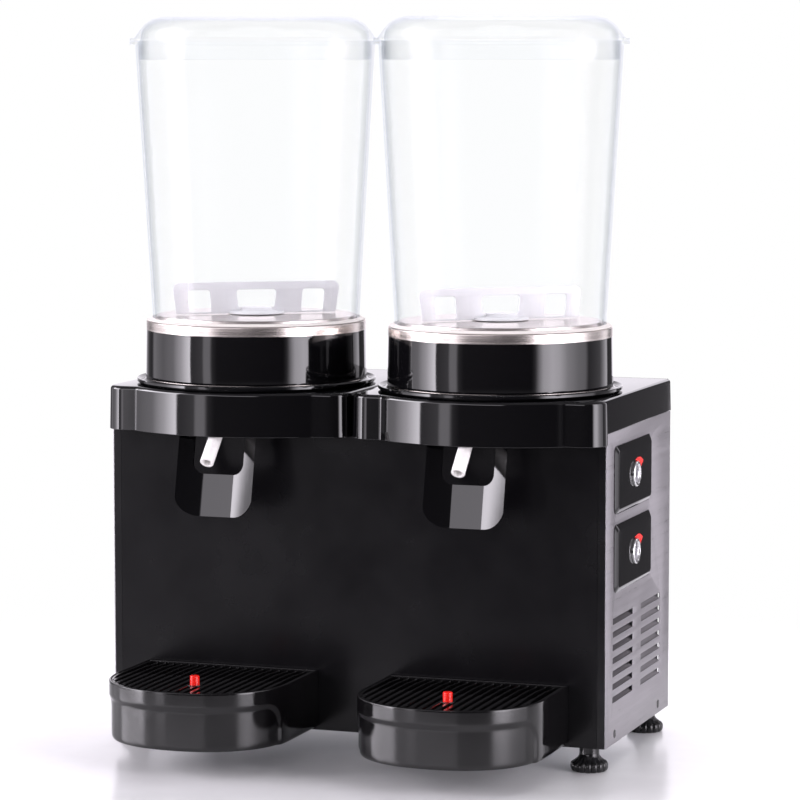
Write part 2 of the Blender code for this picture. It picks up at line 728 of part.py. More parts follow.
def tap_lever(side, station):
    """Push lever with the pinch bar above its pivot. Its origin is on the pin's axis."""
    lean = Matrix.Translation((0, -0.0055, 0)) @ Matrix.Rotation(-LEVER_TILT, 4, "X")
    shell = moved(prism(lever_section(), -0.120, 0.010), lean)
    lever = as_part(shell, "tap_lever_" + side, "gloss_black", station, from_panel(PIVOT_DEPTH, PIVOT_Z))
    outline = prism(lever_silhouette(), -0.030, 0.030)
    combine(lever, moved(outline, lean @ Matrix.Rotation(math.pi / 2, 4, "X")), "INTERSECT")
    unite(lever, rods(0.0060, 0.0180, [(-0.0350, 0, 0), (0.0350, 0, 0)], "X", 16))
    bar, inset, half = Vector((0, -0.0130, 0.0216)), 0.0290, 0.0030
    links = [((x - half, -half, -0.002), (x + half, half, bar.length)) for x in (inset, -inset)]
    unite(lever, moved(boxes(*links), Matrix.Rotation(math.atan2(-bar.y, bar.z), 4, "X")))
    unite(lever, rods(half, 2 * (inset + half), [bar], "X", 12))
    cut(lever, rods(PIN_RADIUS + GAP, 0.1, [(0, 0, 0)], "X", 12))


# ---------------------------------------------------------------- drip trays
def tray_outline(inset=0.0, rear=-0.0012):
    """Plan of the tray from the panel's face: straight back and sides, and a bowed front."""
    half, side = TRAY_HALF_WIDTH - inset, TRAY_SIDE
    reach = TRAY_REACH - side - inset
    power = 2 / 2.2
    points = [(half, rear - inset), (-half, rear - inset)]
    steps = 14
    for i in range(steps + 1):
        angle = math.pi + math.pi * i / steps
        across, along = math.cos(angle), math.sin(angle)
        x = math.copysign(abs(across) ** power, across) * half
        points.append((x, -side - abs(along) ** power * reach))
    return [(x, y - STATION_DEPTH) for x, y in points]


def tray_front(x, inset):
    """How far forward the tray's outline reaches at x."""
    half, reach = TRAY_HALF_WIDTH - inset, TRAY_REACH - TRAY_SIDE - inset
    return -TRAY_SIDE - (1 - min(abs(x) / half, 1) ** 2.2) ** (1 / 2.2) * reach


def drip_tray(side, station):
    tray = as_part(prism(tray_outline(), TRAY_BOTTOM, TRAY_RIM), "drip_tray_" + side, "tray_black", station)
    ledge = TRAY_RIM - 0.0050
    cut(tray, prism(tray_outline(TRAY_WALL), ledge, TRAY_RIM + 0.01))
    cut(tray, prism(tray_outline(2 * TRAY_WALL), TRAY_FLOOR, ledge + 0.001))
    under = TRAY_FLOOR - TRAY_WALL
    cut(tray, prism(tray_outline(TRAY_WALL), TRAY_BOTTOM - 0.01, under))
    notches = []
    for sign in (1, -1):
        middle = sign * ARM_X
        low = from_panel(-0.010, TRAY_BOTTOM - 0.01, middle - 0.009)
        notches.append((low, from_panel(0.010, under, middle + 0.009)))
    cut(tray, boxes(*notches))


def drip_grille(side, station):
    """Slats running front to back in a rim, with a boss round the level float."""
    inset, rim = TRAY_WALL + GAP, 0.0030
    low, high = TRAY_RIM - 0.0050 + GAP, TRAY_RIM - 0.0004
    grille = as_part(prism(tray_outline(inset), low, high), "drip_grille_" + side, "tray_black", station)
    half = (GRILLE_PITCH - 0.0042) / 2
    slots = []
    for i in range(GRILLE_SLATS - 1):
        middle = (i - (GRILLE_SLATS - 2) / 2) * GRILLE_PITCH
        far = tray_front(abs(middle) + half, inset) + rim
        front = from_panel(far, low - 0.01, middle - half)
        slots.append((front, from_panel(-0.0075, high + 0.01, middle + half)))
    cut(grille, boxes(*slots))
    middle = from_panel(FLOAT_DEPTH, (low + high) / 2, FLOAT_X)
    unite(grille, rods(0.0085, high - low + 0.0008, [middle], steps=16))
    cut(grille, rods(0.0056, 0.02, [middle], steps=16))


def level_float(side, station):
    """Overflow float: a disc in the tray and a red stem up through the grille."""
    stem, top = 0.0050, TRAY_RIM + 0.0100
    low = TRAY_FLOOR + 0.0005
    profile = [(0.0, top), (stem, top), (stem, low + 0.012), (0.012, low + 0.012), (0.012, low), (0.0, low)]
    mesh = turned(profile, 12, closed=False)
    as_part(mesh, "level_float_" + side, "red", station, from_panel(FLOAT_DEPTH, 0, FLOAT_X))


# ---------------------------------------------------------------- side controls
def switch_bezel(level, z):
    """Proud plate with chamfered edges and a tail that fills the panel's cut-out."""
    half_y, half_z, chamfer = BEZEL_LENGTH / 2, BEZEL_HEIGHT / 2, 0.0028
    low, face = BODY_HALF_WIDTH + GAP, BEZEL_FACE_X
    plate = side_prism(rounded_rectangle(half_y, half_z, 0.007), low, face)
    for vertex in plate.vertices:
        if vertex.co.x > (low + face) / 2:
            vertex.co.y *= 1 - chamfer / half_y
            vertex.co.z *= 1 - chamfer / half_z
    bezel = as_part(plate, "bezel_" + level, "gloss_black", location=(0, BEZEL_DEPTH, z))
    tail = rounded_rectangle(half_y - 0.0065, half_z - 0.0065, 0.004, 2)
    unite(bezel, side_prism(tail, low - 0.0070, low + 0.001))
    cut(bezel, rods(KNOB_RADIUS + GAP * 2, 0.02, [(KNOB_SEAT_X - GAP + 0.01, 0, 0)], "X", 20))
    cut(bezel, rods(0.0036, 0.06, [(low, 0, 0)], "X", 12))


def control_knob(level, z):
    """Round knob in the bezel's well, with a rim, a finger bar and a shaft. It turns about X."""
    face = KNOB_FACE_X - KNOB_SEAT_X
    profile = [(0.0, face - 0.0016), (0.0098, face - 0.0016), (0.0104, face), (0.0130, face)]
    shaft, tail = 0.0030, -0.014
    profile += [(KNOB_RADIUS, face - 0.0006), (KNOB_RADIUS, 0.0), (shaft, 0.0), (shaft, tail), (0.0, tail)]
    disc = moved(turned(profile, 20, closed=False), Matrix.Rotation(math.pi / 2, 4, "Y"))
    knob = as_part(disc, "knob_" + level, "knob_grey", location=(KNOB_SEAT_X, BEZEL_DEPTH, z))
    unite(knob, boxes(((face - 0.003, -0.0016, -0.0100), (face - 0.0003, 0.0016, 0.0100))))


# ---------------------------------------------------------------- refrigeration
def compressor():
    """Hermetic compressor: a domed shell on a foot plate, with its terminal box."""
    x, depth, low = -0.165, PIPE_DEPTH, BODY_BOTTOM + 0.0018
    profile = [
        (0.0, low + 0.165),
        (0.030, low + 0.160),
        (0.052, low + 0.142),
        (0.062, low + 0.110),
        (0.062, low + 0.050),
        (0.048, low + 0.016),
        (0.0, low + 0.010),
    ]
    shell = moved(turned(profile, 24, closed=False), Matrix.Translation((x, depth, 0)))
    part = as_part(shell, "compressor", "black_metal")
    unite(part, boxes(((x - 0.075, depth - 0.050, low), (x + 0.075, depth + 0.050, low + 0.012))))
    unite(part, boxes(((x + 0.045, depth - 0.022, low + 0.055), (x + 0.080, depth + 0.022, low + 0.105))))


def condenser():
    """Finned block: plates on header ends, open from face to face for the air."""
    low, high = Vector((0.175, 0.030, 0.046)), Vector((0.205, 0.225, 0.186))
    block = as_part(boxes((low, high)), "condenser", "galvanised")
    fins = 15
    pitch = (high.z - low.z - 0.006) / fins
    ways = []
    for i in range(fins):
        z = low.z + 0.0045 + i * pitch
        ways.append(((low.x - 0.01, low.y + 0.008, z), (high.x + 0.01, high.y - 0.008, z + pitch - 0.0020)))
    cut(block, boxes(*ways))


def fan_blade(index, count):
    pitch = Matrix.Rotation(math.radians(28), 4, "Z")
    blade = boxes(((-0.0010, -0.018, 0.010), (0.0010, 0.018, 0.058)))
    return moved(blade, Matrix.Rotation(math.tau * index / count, 4, "X") @ pitch)


def condenser_fan():
    hub = rods(0.017, 0.0200, [(0, 0, 0)], "X", 16)
    fan = as_part(hub, "condenser_fan", "black_metal", location=FAN_CENTRE)
    for index in range(5):
        unite(fan, fan_blade(index, 5))
    cut(fan, rods(0.0033, 0.05, [(0, 0, 0)], "X", 12))


def fan_motor():
    """Motor on a pedestal, with the shaft the fan turns on."""
    x, depth, z = FAN_CENTRE
    floor = BODY_BOTTOM + 0.0018
    motor = as_part(rods(0.030, 0.045, [(x - 0.0395, depth, z)], "X", 16), "fan_motor", "black_metal")
    unite(motor, rods(0.0030, 0.040, [(x - 0.005, depth, z)], "X", 12))
    unite(motor, boxes(((x - 0.055, depth - 0.012, floor), (x - 0.025, depth + 0.012, z - 0.020))))
    unite(motor, boxes(((x - 0.065, depth - 0.030, floor), (x - 0.015, depth + 0.030, floor + 0.0022))))


def refrigerant_pipe():
    """Discharge line from the compressor's dome up, across and down to the condenser's header."""
    left, right, corner = -0.130, 0.180, 0.020
    rise, low_left, low_right = 0.235, 0.189, 0.1868
    route = [(left, low_left)]
    route += arc((left + corner, rise - corner), corner, 180, 90, 3)
    route += arc((right - corner, rise - corner), corner, 90, 0, 3)
    route.append((right, low_right))
    as_part(pipe([(x, PIPE_DEPTH, z) for x, z in route], 0.004, 1), "refrigerant_pipe", "copper")


# ---------------------------------------------------------------- assembly
def main():
    clear_scene()
    machine = place_empty("machine", MACHINE_PLACE)
    base_pan()
    front_panel()
    corner_posts()
    side_panels()
    rear_panel()
    power_inlet()
    deck_plate()
    feet()
    compressor()
    condenser()
    condenser_fan()
    fan_motor()
    refrigerant_pipe()
    for level, z in BEZEL_Z.items():
        switch_bezel(level, z)
        control_knob(level, z)
    builders = (
        top_cover,
        drip_gutter,
        collar,
        insulation_block,
        cold_plate,
        bowl_gasket,
        bowl,
        lid,
        paddle,
        agitator_motor,
        magnet_rotor,
        tap_tube,
        tap_body,
        lever_pin,
        lever_spring,
        tap_lever,
        drip_tray,
        drip_grille,
        level_float,
    )
    for side, sign in (("right", 1), ("left", -1)):
        station = place_empty("station_" + side, (sign * STATION_X, STATION_DEPTH, 0), machine)
        for build in builders:
            build(side, station)
    bpy.context.view_layer.update()


main()
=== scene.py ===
"""The looks of the twin-bowl drink dispenser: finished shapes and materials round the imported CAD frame."""

import json
import math

import bmesh
import bpy
from mathutils import Matrix, Vector

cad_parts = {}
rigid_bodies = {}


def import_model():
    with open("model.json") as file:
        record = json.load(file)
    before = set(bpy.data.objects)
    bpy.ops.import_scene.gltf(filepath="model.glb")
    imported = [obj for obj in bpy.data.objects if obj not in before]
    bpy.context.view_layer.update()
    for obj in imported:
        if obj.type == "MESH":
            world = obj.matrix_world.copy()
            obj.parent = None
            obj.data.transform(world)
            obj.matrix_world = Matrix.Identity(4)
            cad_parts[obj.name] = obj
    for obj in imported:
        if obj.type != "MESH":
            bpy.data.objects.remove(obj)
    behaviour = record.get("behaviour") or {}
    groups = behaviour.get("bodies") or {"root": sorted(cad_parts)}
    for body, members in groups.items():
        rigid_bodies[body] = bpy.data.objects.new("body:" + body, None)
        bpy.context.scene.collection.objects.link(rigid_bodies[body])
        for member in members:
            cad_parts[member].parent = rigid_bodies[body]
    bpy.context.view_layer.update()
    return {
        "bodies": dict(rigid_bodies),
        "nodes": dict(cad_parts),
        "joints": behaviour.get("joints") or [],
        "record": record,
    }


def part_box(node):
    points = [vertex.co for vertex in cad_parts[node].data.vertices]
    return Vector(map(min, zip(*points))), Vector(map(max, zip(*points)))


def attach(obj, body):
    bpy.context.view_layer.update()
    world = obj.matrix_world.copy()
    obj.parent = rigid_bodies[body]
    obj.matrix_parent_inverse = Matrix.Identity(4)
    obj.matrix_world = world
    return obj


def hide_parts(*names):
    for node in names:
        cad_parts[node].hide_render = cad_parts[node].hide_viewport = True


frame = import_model()

# ---------------------------------------------------------------- where things are, in metres
SIDES = {"right": 1, "left": -1}
MM = 0.001


def heights(name):
    """The bottom and the top of a CAD node."""
    return [corner.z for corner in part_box(name)]


panel_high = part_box("side_panel_right")[1]
PANEL_FACE_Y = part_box("corner_post_right")[0].y
MIDDLE_X = (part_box("side_panel_left")[0].x + panel_high.x) / 2
BODY_HALF = panel_high.x - MIDDLE_X
PANEL_TOP = panel_high.z

STATIONS = {}
for side_name in SIDES:
    low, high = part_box("bowl_" + side_name)
    STATIONS[side_name] = Vector(((low.x + high.x) / 2, (low.y + high.y) / 2, 0))
STATION_DEPTH = STATIONS["right"].y - PANEL_FACE_Y

FASCIA_BOTTOM, COVER_TOP = heights("top_cover_right")
BOWL_FOOT, BOWL_TOP = heights("bowl_right")
LID_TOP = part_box("lid_right")[1].z
RIM_RADIUS = (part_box("bowl_right")[1].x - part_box("bowl_right")[0].x) / 2


# ---------------------------------------------------------------- shapes: outlines
def polar(radius, degrees, centre=(0, 0)):
    angle = math.radians(degrees)
    return (centre[0] + radius * math.cos(angle), centre[1] + radius * math.sin(angle))


def arc(centre, radius, start, end, steps):
    return [polar(radius, start + (end - start) * i / steps, centre) for i in range(steps + 1)]


def rounded(points, radii, closed=True, steps=4):
    """The outline with each corner replaced by an arc. radii is one radius, or one for each point."""
    count = len(points)
    radii = radii if isinstance(radii, (list, tuple)) else [radii] * count
    out = []
    for i, (point, radius) in enumerate(zip(points, radii)):
        if radius <= 0 or (not closed and i in (0, count - 1)):
            out.append(tuple(point))
            continue
        here = Vector(point)
        back, ahead = Vector(points[i - 1]) - here, Vector(points[(i + 1) % count]) - here
        room = 0.45 * min(back.length, ahead.length)
        back.normalize()
        ahead.normalize()
        half = math.acos(max(-1, min(1, back.dot(ahead)))) / 2
        if half > math.radians(88):
            out.append(tuple(point))
            continue
        along = min(radius / math.tan(half), room)
        radius = along * math.tan(half)
        centre = here + (back + ahead).normalized() * (radius / math.sin(half))
        start, end = here + back * along - centre, here + ahead * along - centre
        for k in range(steps + 1):
            out.append(tuple(centre + start.slerp(end, k / steps, start.normalized()) * radius))
    return out


def inset(outline, distance):
    """The closed anticlockwise outline moved inwards by a distance, one number or one for each point."""
    count = len(outline)
    distances = distance if isinstance(distance, (list, tuple)) else [distance] * count
    out = []
    for i, point in enumerate(outline):
        before = Vector(point) - Vector(outline[i - 1])
        after = Vector(outline[(i + 1) % count]) - Vector(point)
        normals = [Vector((-d.y, d.x)).normalized() for d in (before, after) if d.length > 1e-9]
        normal = sum(normals, Vector((0, 0))).normalized()
        stretch = max(normal.dot(normals[0]), 0.4)
        out.append(tuple(Vector(point) + normal * (distances[i] / stretch)))
    return out


def rounded_rectangle(half_x, half_y, radius, steps=6):
    x, y = half_x - radius, half_y - radius
    corners = ((x, y, 0), (-x, y, 90), (-x, -y, 180), (x, -y, 270))
    return [point for cx, cy, start in corners for point in arc((cx, cy), radius, start, start + 90, steps)]


# ---------------------------------------------------------------- shapes: meshes
def skin(rings, closed_loop=False):
    """Quads between successive rings of points, with flat caps unless the last ring meets the first."""

    def build(bm):
        loops = [[bm.verts.new(point) for point in ring] for ring in rings]
        pairs = list(zip(loops, loops[1:]))
        if closed_loop:
            pairs.append((loops[-1], loops[0]))
        for first, second in pairs:
            for i in range(len(first)):
                j = (i + 1) % len(first)
                bm.faces.new((first[i], first[j], second[j], second[i]))
        if not closed_loop:
            bm.faces.new(list(reversed(loops[0])))
            bm.faces.new(loops[-1])

    return mesh_of(build)


def turned(profile, steps=128, closed=True, shape=None):
    """Turns a radius-height profile about Z. shape(radius, height, angle) may move a point."""

    def build(bm):
        columns, poles = [], {}
        for k in range(steps):
            angle, column = math.tau * k / steps, []
            for i, (radius, height) in enumerate(profile):
                on_axis = radius < 1e-7
                if shape:
                    radius, height = shape(radius, height, angle)
                if i not in poles:
                    vert = bm.verts.new((radius * math.cos(angle), radius * math.sin(angle), height))
                    if on_axis:
                        poles[i] = vert
                column.append(poles.get(i, vert))
            columns.append(column)
        count = len(profile)
        for here, there in zip(columns, columns[1:] + columns[:1]):
            for i in range(count if closed else count - 1):
                j = (i + 1) % count
                corners = list(dict.fromkeys((here[i], here[j], there[j], there[i])))
                if len(corners) > 2:
                    bm.faces.new(corners)

    return mesh_of(build)


def spun(profile, radii, steps, shape=None):
    """A turned solid whose profile starts and ends on the axis, with its corners rounded."""
    return turned(rounded(profile, radii, closed=False), steps, closed=False, shape=shape)


def boxes(*corners):
    """One mesh of boxes, each given by its low and high corner."""

    def build(bm):
        for low, high in corners:
            low, high = Vector(low), Vector(high)
            shape = Matrix.Translation((low + high) / 2) @ Matrix.Diagonal((*(high - low), 1))
            bmesh.ops.create_cube(bm, size=1, matrix=shape)

    return mesh_of(build)


def mesh_of(build, merge=1e-7):
    """A mesh from a function that fills a bmesh, with its faces pointing out."""
    mesh = bpy.data.meshes.new("shape")
    bm = bmesh.new()
    build(bm)
    bmesh.ops.remove_doubles(bm, verts=bm.verts, dist=merge)
    bmesh.ops.recalc_face_normals(bm, faces=bm.faces)
    bm.to_mesh(mesh)
    bm.free()
    return mesh


def linked(data, name="helper"):
    """A new object in the scene that shows a mesh, a curve, a lamp or a camera."""
    obj = bpy.data.objects.new(name, data)
    bpy.context.scene.collection.objects.link(obj)
    return obj


def evaluated_mesh(obj):
    """The object's finished shape as a new mesh."""
    bpy.context.view_layer.update()
    graph = bpy.context.evaluated_depsgraph_get()
    return bpy.data.meshes.new_from_object(obj.evaluated_get(graph))


def outline_mesh(outline, low, high, holes=(), edge=0.0):
    """A flat outline of (x, y) points with holes, from z = low to high, its edges rounded by edge."""
    curve = bpy.data.curves.new("outline", "CURVE")
    curve.dimensions = "2D"
    curve.fill_mode = "BOTH"
    curve.extrude = (high - low) / 2 - edge
    curve.bevel_depth = edge
    curve.bevel_resolution = 2
    curve.offset = -edge
    for points in (outline, *holes):
        spline = curve.splines.new("POLY")
        spline.points.add(len(points) - 1)
        for spot, (x, y) in zip(spline.points, points):
            spot.co = (x, y, 0, 1)
        spline.use_cyclic_u = True
    helper = linked(curve)
    helper.location.z = (low + high) / 2
    flat = evaluated_mesh(helper)
    flat.transform(helper.matrix_world)
    bpy.data.objects.remove(helper, do_unlink=True)
    return mesh_of(lambda bm: bm.from_mesh(flat), merge=1e-6)


def joined(*meshes):
    """One mesh that holds all the given ones."""
    bm = bmesh.new()
    for mesh in meshes:
        bm.from_mesh(mesh)
    mesh = bpy.data.meshes.new("joined")
    bm.to_mesh(mesh)
    bm.free()
    return mesh


def soften(obj, width, degrees, steps=2):
    """Rounds every edge that is sharper than an angle."""
    edges = obj.modifiers.new("edges", "BEVEL")
    edges.width = width
    edges.segments = steps
    edges.limit_method = "ANGLE"
    edges.angle_limit = math.radians(degrees)


def piece(name, mesh, body, slot_name, look, replaced=None, at=(0, 0, 0), sharp=35, bevel=0.0, bevel_steps=2):
    """Links a finished mesh as a piece that rides on a CAD body and has one of the LOOKS."""
    obj = linked(mesh, name)
    obj.location = at
    mesh.materials.clear()
    mesh.materials.append(LOOKS[look])
    if bevel:
        soften(obj, bevel, 38, bevel_steps)
    mesh.shade_smooth()
    mesh.set_sharp_from_angle(angle=math.radians(sharp))
    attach(obj, body)
    if replaced:
        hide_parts(replaced)


def part_of(side, name, mesh, node, slot_name, look, fixed=False, offset=(0, 0, 0), **edges):
    """A piece in place of a station's CAD node. It rides on that node's body, or is fixed to the machine."""
    node += "_" + side
    at = STATIONS[side] + Vector(offset)
    piece(f"{name}_{side}", mesh, "machine" if fixed else node, slot_name, look, node, at, **edges)


# ---------------------------------------------------------------- materials
INPUTS = {
    "colour": "Base Color",
    "roughness": "Roughness",
    "metallic": "Metallic",
    "specular": "Specular IOR Level",
    "ior": "IOR",
    "transmission": "Transmission Weight",
    "subsurface": "Subsurface Weight",
    "reach": "Subsurface Radius",
    "reach_scale": "Subsurface Scale",
    "anisotropy": "Anisotropic",
}


class Nodes:
    """A material or a world being built: short calls that add nodes and link them."""

    def __init__(self, name, owner=None):
        self.material = owner or bpy.data.materials.new(name)
        self.material.use_nodes = True
        self.tree = self.material.node_tree
        self.shader = self.tree.nodes.get("Principled BSDF")
        self.coordinates = self.add("ShaderNodeTexCoord").outputs
        self.place = self.coordinates["Object"]

    def put(self, socket, value):
        """Links a socket to another one, or sets its value."""
        if isinstance(value, bpy.types.NodeSocket):
            self.tree.links.new(value, socket)
        else:
            socket.default_value = (*value, 1) if socket.type == "RGBA" else value

    def add(self, kind, inputs=None, **settings):
        node = self.tree.nodes.new(kind)
        for key, value in settings.items():
            setattr(node, key, value)
        for key, value in (inputs or {}).items():
            self.put(node.inputs[key], value)
        return node

    def stretched(self, scale):
        return self.add("ShaderNodeMapping", {"Vector": self.place, "Scale": scale}).outputs["Vector"]

    def noise(self, scale, detail=3.0, roughness=0.55, vector=None):
        inputs = {"Vector": vector or self.place, "Scale": scale, "Detail": detail, "Roughness": roughness}
        return self.add("ShaderNodeTexNoise", inputs).outputs["Fac"]

    def cells(self, scale, feature="F1", output="Distance"):
        inputs = {"Vector": self.place, "Scale": scale}
        return self.add("ShaderNodeTexVoronoi", inputs, feature=feature).outputs[output]

    def span(self, value, low_in, high_in, low_out, high_out, **kind):
        limits = {"From Min": low_in, "From Max": high_in, "To Min": low_out, "To Max": high_out}
        return self.add("ShaderNodeMapRange", {"Value": value, **limits}, **kind).outputs["Result"]

    def smooth(self, value, *limits):
        return self.span(value, *limits, interpolation_type="SMOOTHSTEP")

    def maths(self, operation, first, second=0.0):
        return self.add("ShaderNodeMath", {0: first, 1: second}, operation=operation).outputs[0]

    def blend(self, factor, first, second):
        return self.add("ShaderNodeMix", {0: factor, 6: first, 7: second}, data_type="RGBA").outputs[2]

    def bump(self, height, strength, distance):
        """Adds a layer of relief over what the normal already has."""
        inputs = {"Height": height, "Strength": strength, "Distance": distance}
        normal = self.shader.inputs["Normal"]
        if normal.is_linked:
            inputs["Normal"] = normal.links[0].from_socket
        self.put(normal, self.add("ShaderNodeBump", inputs).outputs["Normal"])

    def mix(self, share, first, second):
        """Makes the surface the first shader, giving way to the second by a share."""
        mixed = self.add("ShaderNodeMixShader", {0: share, 1: first, 2: second}).outputs[0]
        self.put(self.tree.nodes["Material Output"].inputs["Surface"], mixed)

    def set(self, **values):
        for key, value in values.items():
            self.put(self.shader.inputs[INPUTS[key]], value)


def glossy_plastic(name, colour, roughness=0.06):
    """Polished moulded ABS: faint flow waves, hairline scuffs and finger haze in the gloss."""
    m = Nodes(name)
    haze = m.span(m.noise(9, 4), 0.35, 0.75, roughness, roughness + 0.025)
    hair = m.span(m.noise(260, 2, vector=m.stretched((1, 1, 0.06))), 0.62, 0.72, 0.0, 0.03)
    m.set(colour=m.blend(m.noise(30, 3), colour, tuple(c * 1.35 for c in colour)), ior=1.5)
    m.set(roughness=m.maths("ADD", haze, hair))
    m.bump(m.noise(22, 2), 0.10, 0.0004)
    m.bump(m.noise(1400, 2), 0.03, 0.00005)
    return m.material


def satin_paint(name, colour, roughness, specular):
    """Powder coat: fine orange peel and tiny bright flecks."""
    m = Nodes(name)
    fleck = m.span(m.cells(1500), 0.0, 0.10, 1.0, 0.0)
    base = m.blend(m.noise(6, 4), colour, tuple(c * 1.25 for c in colour))
    m.set(colour=m.blend(m.maths("MULTIPLY", fleck, 0.04), base, (0.12, 0.11, 0.11)), specular=specular)
    m.set(roughness=m.span(m.noise(14, 4), 0.3, 0.7, roughness - 0.05, roughness + 0.06))
    m.bump(m.noise(420, 3), 0.18, 0.0002)
    m.bump(m.cells(900), 0.10, 0.0001)
    return m.material


def brushed_steel(name, colour, roughness, around=False):
    """Brushed stainless: long streaks in colour, roughness and height. around=True lays them round Z."""
    m = Nodes(name)
    if around:
        x, y, z = m.add("ShaderNodeSeparateXYZ", {0: m.place}).outputs
        squares = m.maths("ADD", m.maths("POWER", x, 2.0), m.maths("POWER", y, 2.0))
        where = m.add("ShaderNodeCombineXYZ", {0: m.maths("SQRT", squares), 2: z}).outputs[0]
    else:
        where = m.stretched((1, 0.012, 1))
    streak = m.noise(2600, 4, 0.65, vector=where)
    broad = m.noise(160, 3, 0.6, vector=where)
    tone = m.maths("ADD", m.maths("MULTIPLY", streak, 0.6), m.maths("MULTIPLY", broad, 0.4))
    dull, bright = (tuple(min(c * gain, 1) for c in colour) for gain in (0.84, 1.12))
    m.set(colour=m.blend(m.span(tone, 0.35, 0.65, 0, 1), dull, bright))
    m.set(metallic=1.0, roughness=m.span(tone, 0.3, 0.7, roughness - 0.05, roughness + 0.08), anisotropy=0.5)
    m.bump(streak, 0.12, 0.00006)
    m.bump(m.noise(7, 4, 0.6), 0.05, 0.0005)
    return m.material


def galvanised(name):
    """Zinc spangle: crystal patches of slightly different greys."""
    m = Nodes(name)
    red, green, _ = m.add("ShaderNodeSeparateColor", {0: m.cells(95, output="Color")}).outputs
    m.set(colour=m.blend(red, (0.40, 0.42, 0.44), (0.60, 0.62, 0.64)), metallic=0.9)
    m.set(roughness=m.span(green, 0, 1, 0.30, 0.52))
    m.bump(m.cells(95, "DISTANCE_TO_EDGE"), 0.08, 0.0003)
    return m.material


def clear_plastic(name):
    """Clear polycarbonate: bluish where it is looked at edge on, with faint mould lines and fine hairs."""
    m = Nodes(name)
    m.set(colour=(0.985, 0.99, 1.0), transmission=1.0, ior=1.50)
    hairs = m.noise(900, 2, vector=m.stretched((1, 1, 0.02)))
    m.set(roughness=m.span(hairs, 0.60, 0.75, 0.008, 0.05))
    m.bump(m.noise(12, 3), 0.05, 0.0006)
    facing = m.add("ShaderNodeLayerWeight", {"Blend": 0.30}).outputs["Facing"]
    edge = m.span(facing, 0.28, 1.0, 0.0, 1.0)
    passing = m.blend(m.maths("POWER", edge, 2.0), (0.994, 0.996, 0.998), (0.66, 0.70, 0.76))
    clear = m.add("ShaderNodeBsdfTransparent", {"Color": passing}).outputs[0]
    m.mix(m.span(m.maths("POWER", edge, 2.5), 0, 1, 0.04, 0.60), clear, m.shader.outputs[0])
    return m.material


def milky_plastic(name, colour, roughness, glow):
    """Cloudy moulding that light sinks into a little way, with a soft skin."""
    m = Nodes(name)
    m.set(colour=m.blend(m.noise(40, 4, 0.6), colour, tuple(c * 0.93 for c in colour)), ior=1.45)
    m.set(subsurface=glow, reach=(0.006, 0.006, 0.006), reach_scale=1.0)
    m.set(roughness=m.span(m.noise(120, 3), 0.3, 0.7, roughness - 0.06, roughness + 0.06))
    m.bump(m.noise(500, 3), 0.06, 0.0001)
    return m.material


def soft_rubber(name, colour, roughness):
    """Moulded rubber: a dull skin, a little uneven."""
    m = Nodes(name)
    m.set(colour=m.blend(m.noise(60, 4), colour, tuple(c * 0.9 for c in colour)))
    m.set(roughness=m.span(m.noise(200, 3), 0.3, 0.7, roughness - 0.08, roughness + 0.08))
    m.set(subsurface=0.05, reach=(0.002, 0.002, 0.002))
    m.bump(m.noise(900, 3), 0.08, 0.0001)
    return m.material


def moulded_black(name, colour, roughness):
    """Moulded black with a light spark texture, for trays and grilles."""
    m = Nodes(name)
    m.set(colour=m.blend(m.noise(25, 4), colour, tuple(c * 1.5 for c in colour)), ior=1.49)
    m.set(roughness=m.span(m.noise(35, 4), 0.3, 0.7, roughness - 0.05, roughness + 0.07))
    m.bump(m.noise(2200, 2), 0.05, 0.00006)
    m.bump(m.noise(30, 2), 0.10, 0.0004)
    return m.material


def coated_metal(name, colour, metallic, roughness):
    """Plated, painted or bare metal with a few brighter worn spots."""
    m = Nodes(name)
    worn = m.span(m.noise(90, 5, 0.7), 0.62, 0.78, 0, 1)
    m.set(colour=m.blend(worn, colour, tuple(min(c * 1.6 + 0.01, 1) for c in colour)), metallic=metallic)
    m.set(roughness=m.span(m.noise(45, 4), 0.3, 0.7, roughness - 0.08, roughness + 0.08))
    m.bump(m.noise(600, 3), 0.12, 0.0001)
    return m.material


def foam(name):
    """Cut rigid foam: small open cells."""
    m = Nodes(name)
    cell = m.cells(700)
    m.set(colour=m.blend(m.span(cell, 0, 0.6, 0, 1), (0.62, 0.58, 0.48), (0.80, 0.77, 0.68)), roughness=0.95)
    m.bump(cell, 0.5, 0.0004)
    return m.material


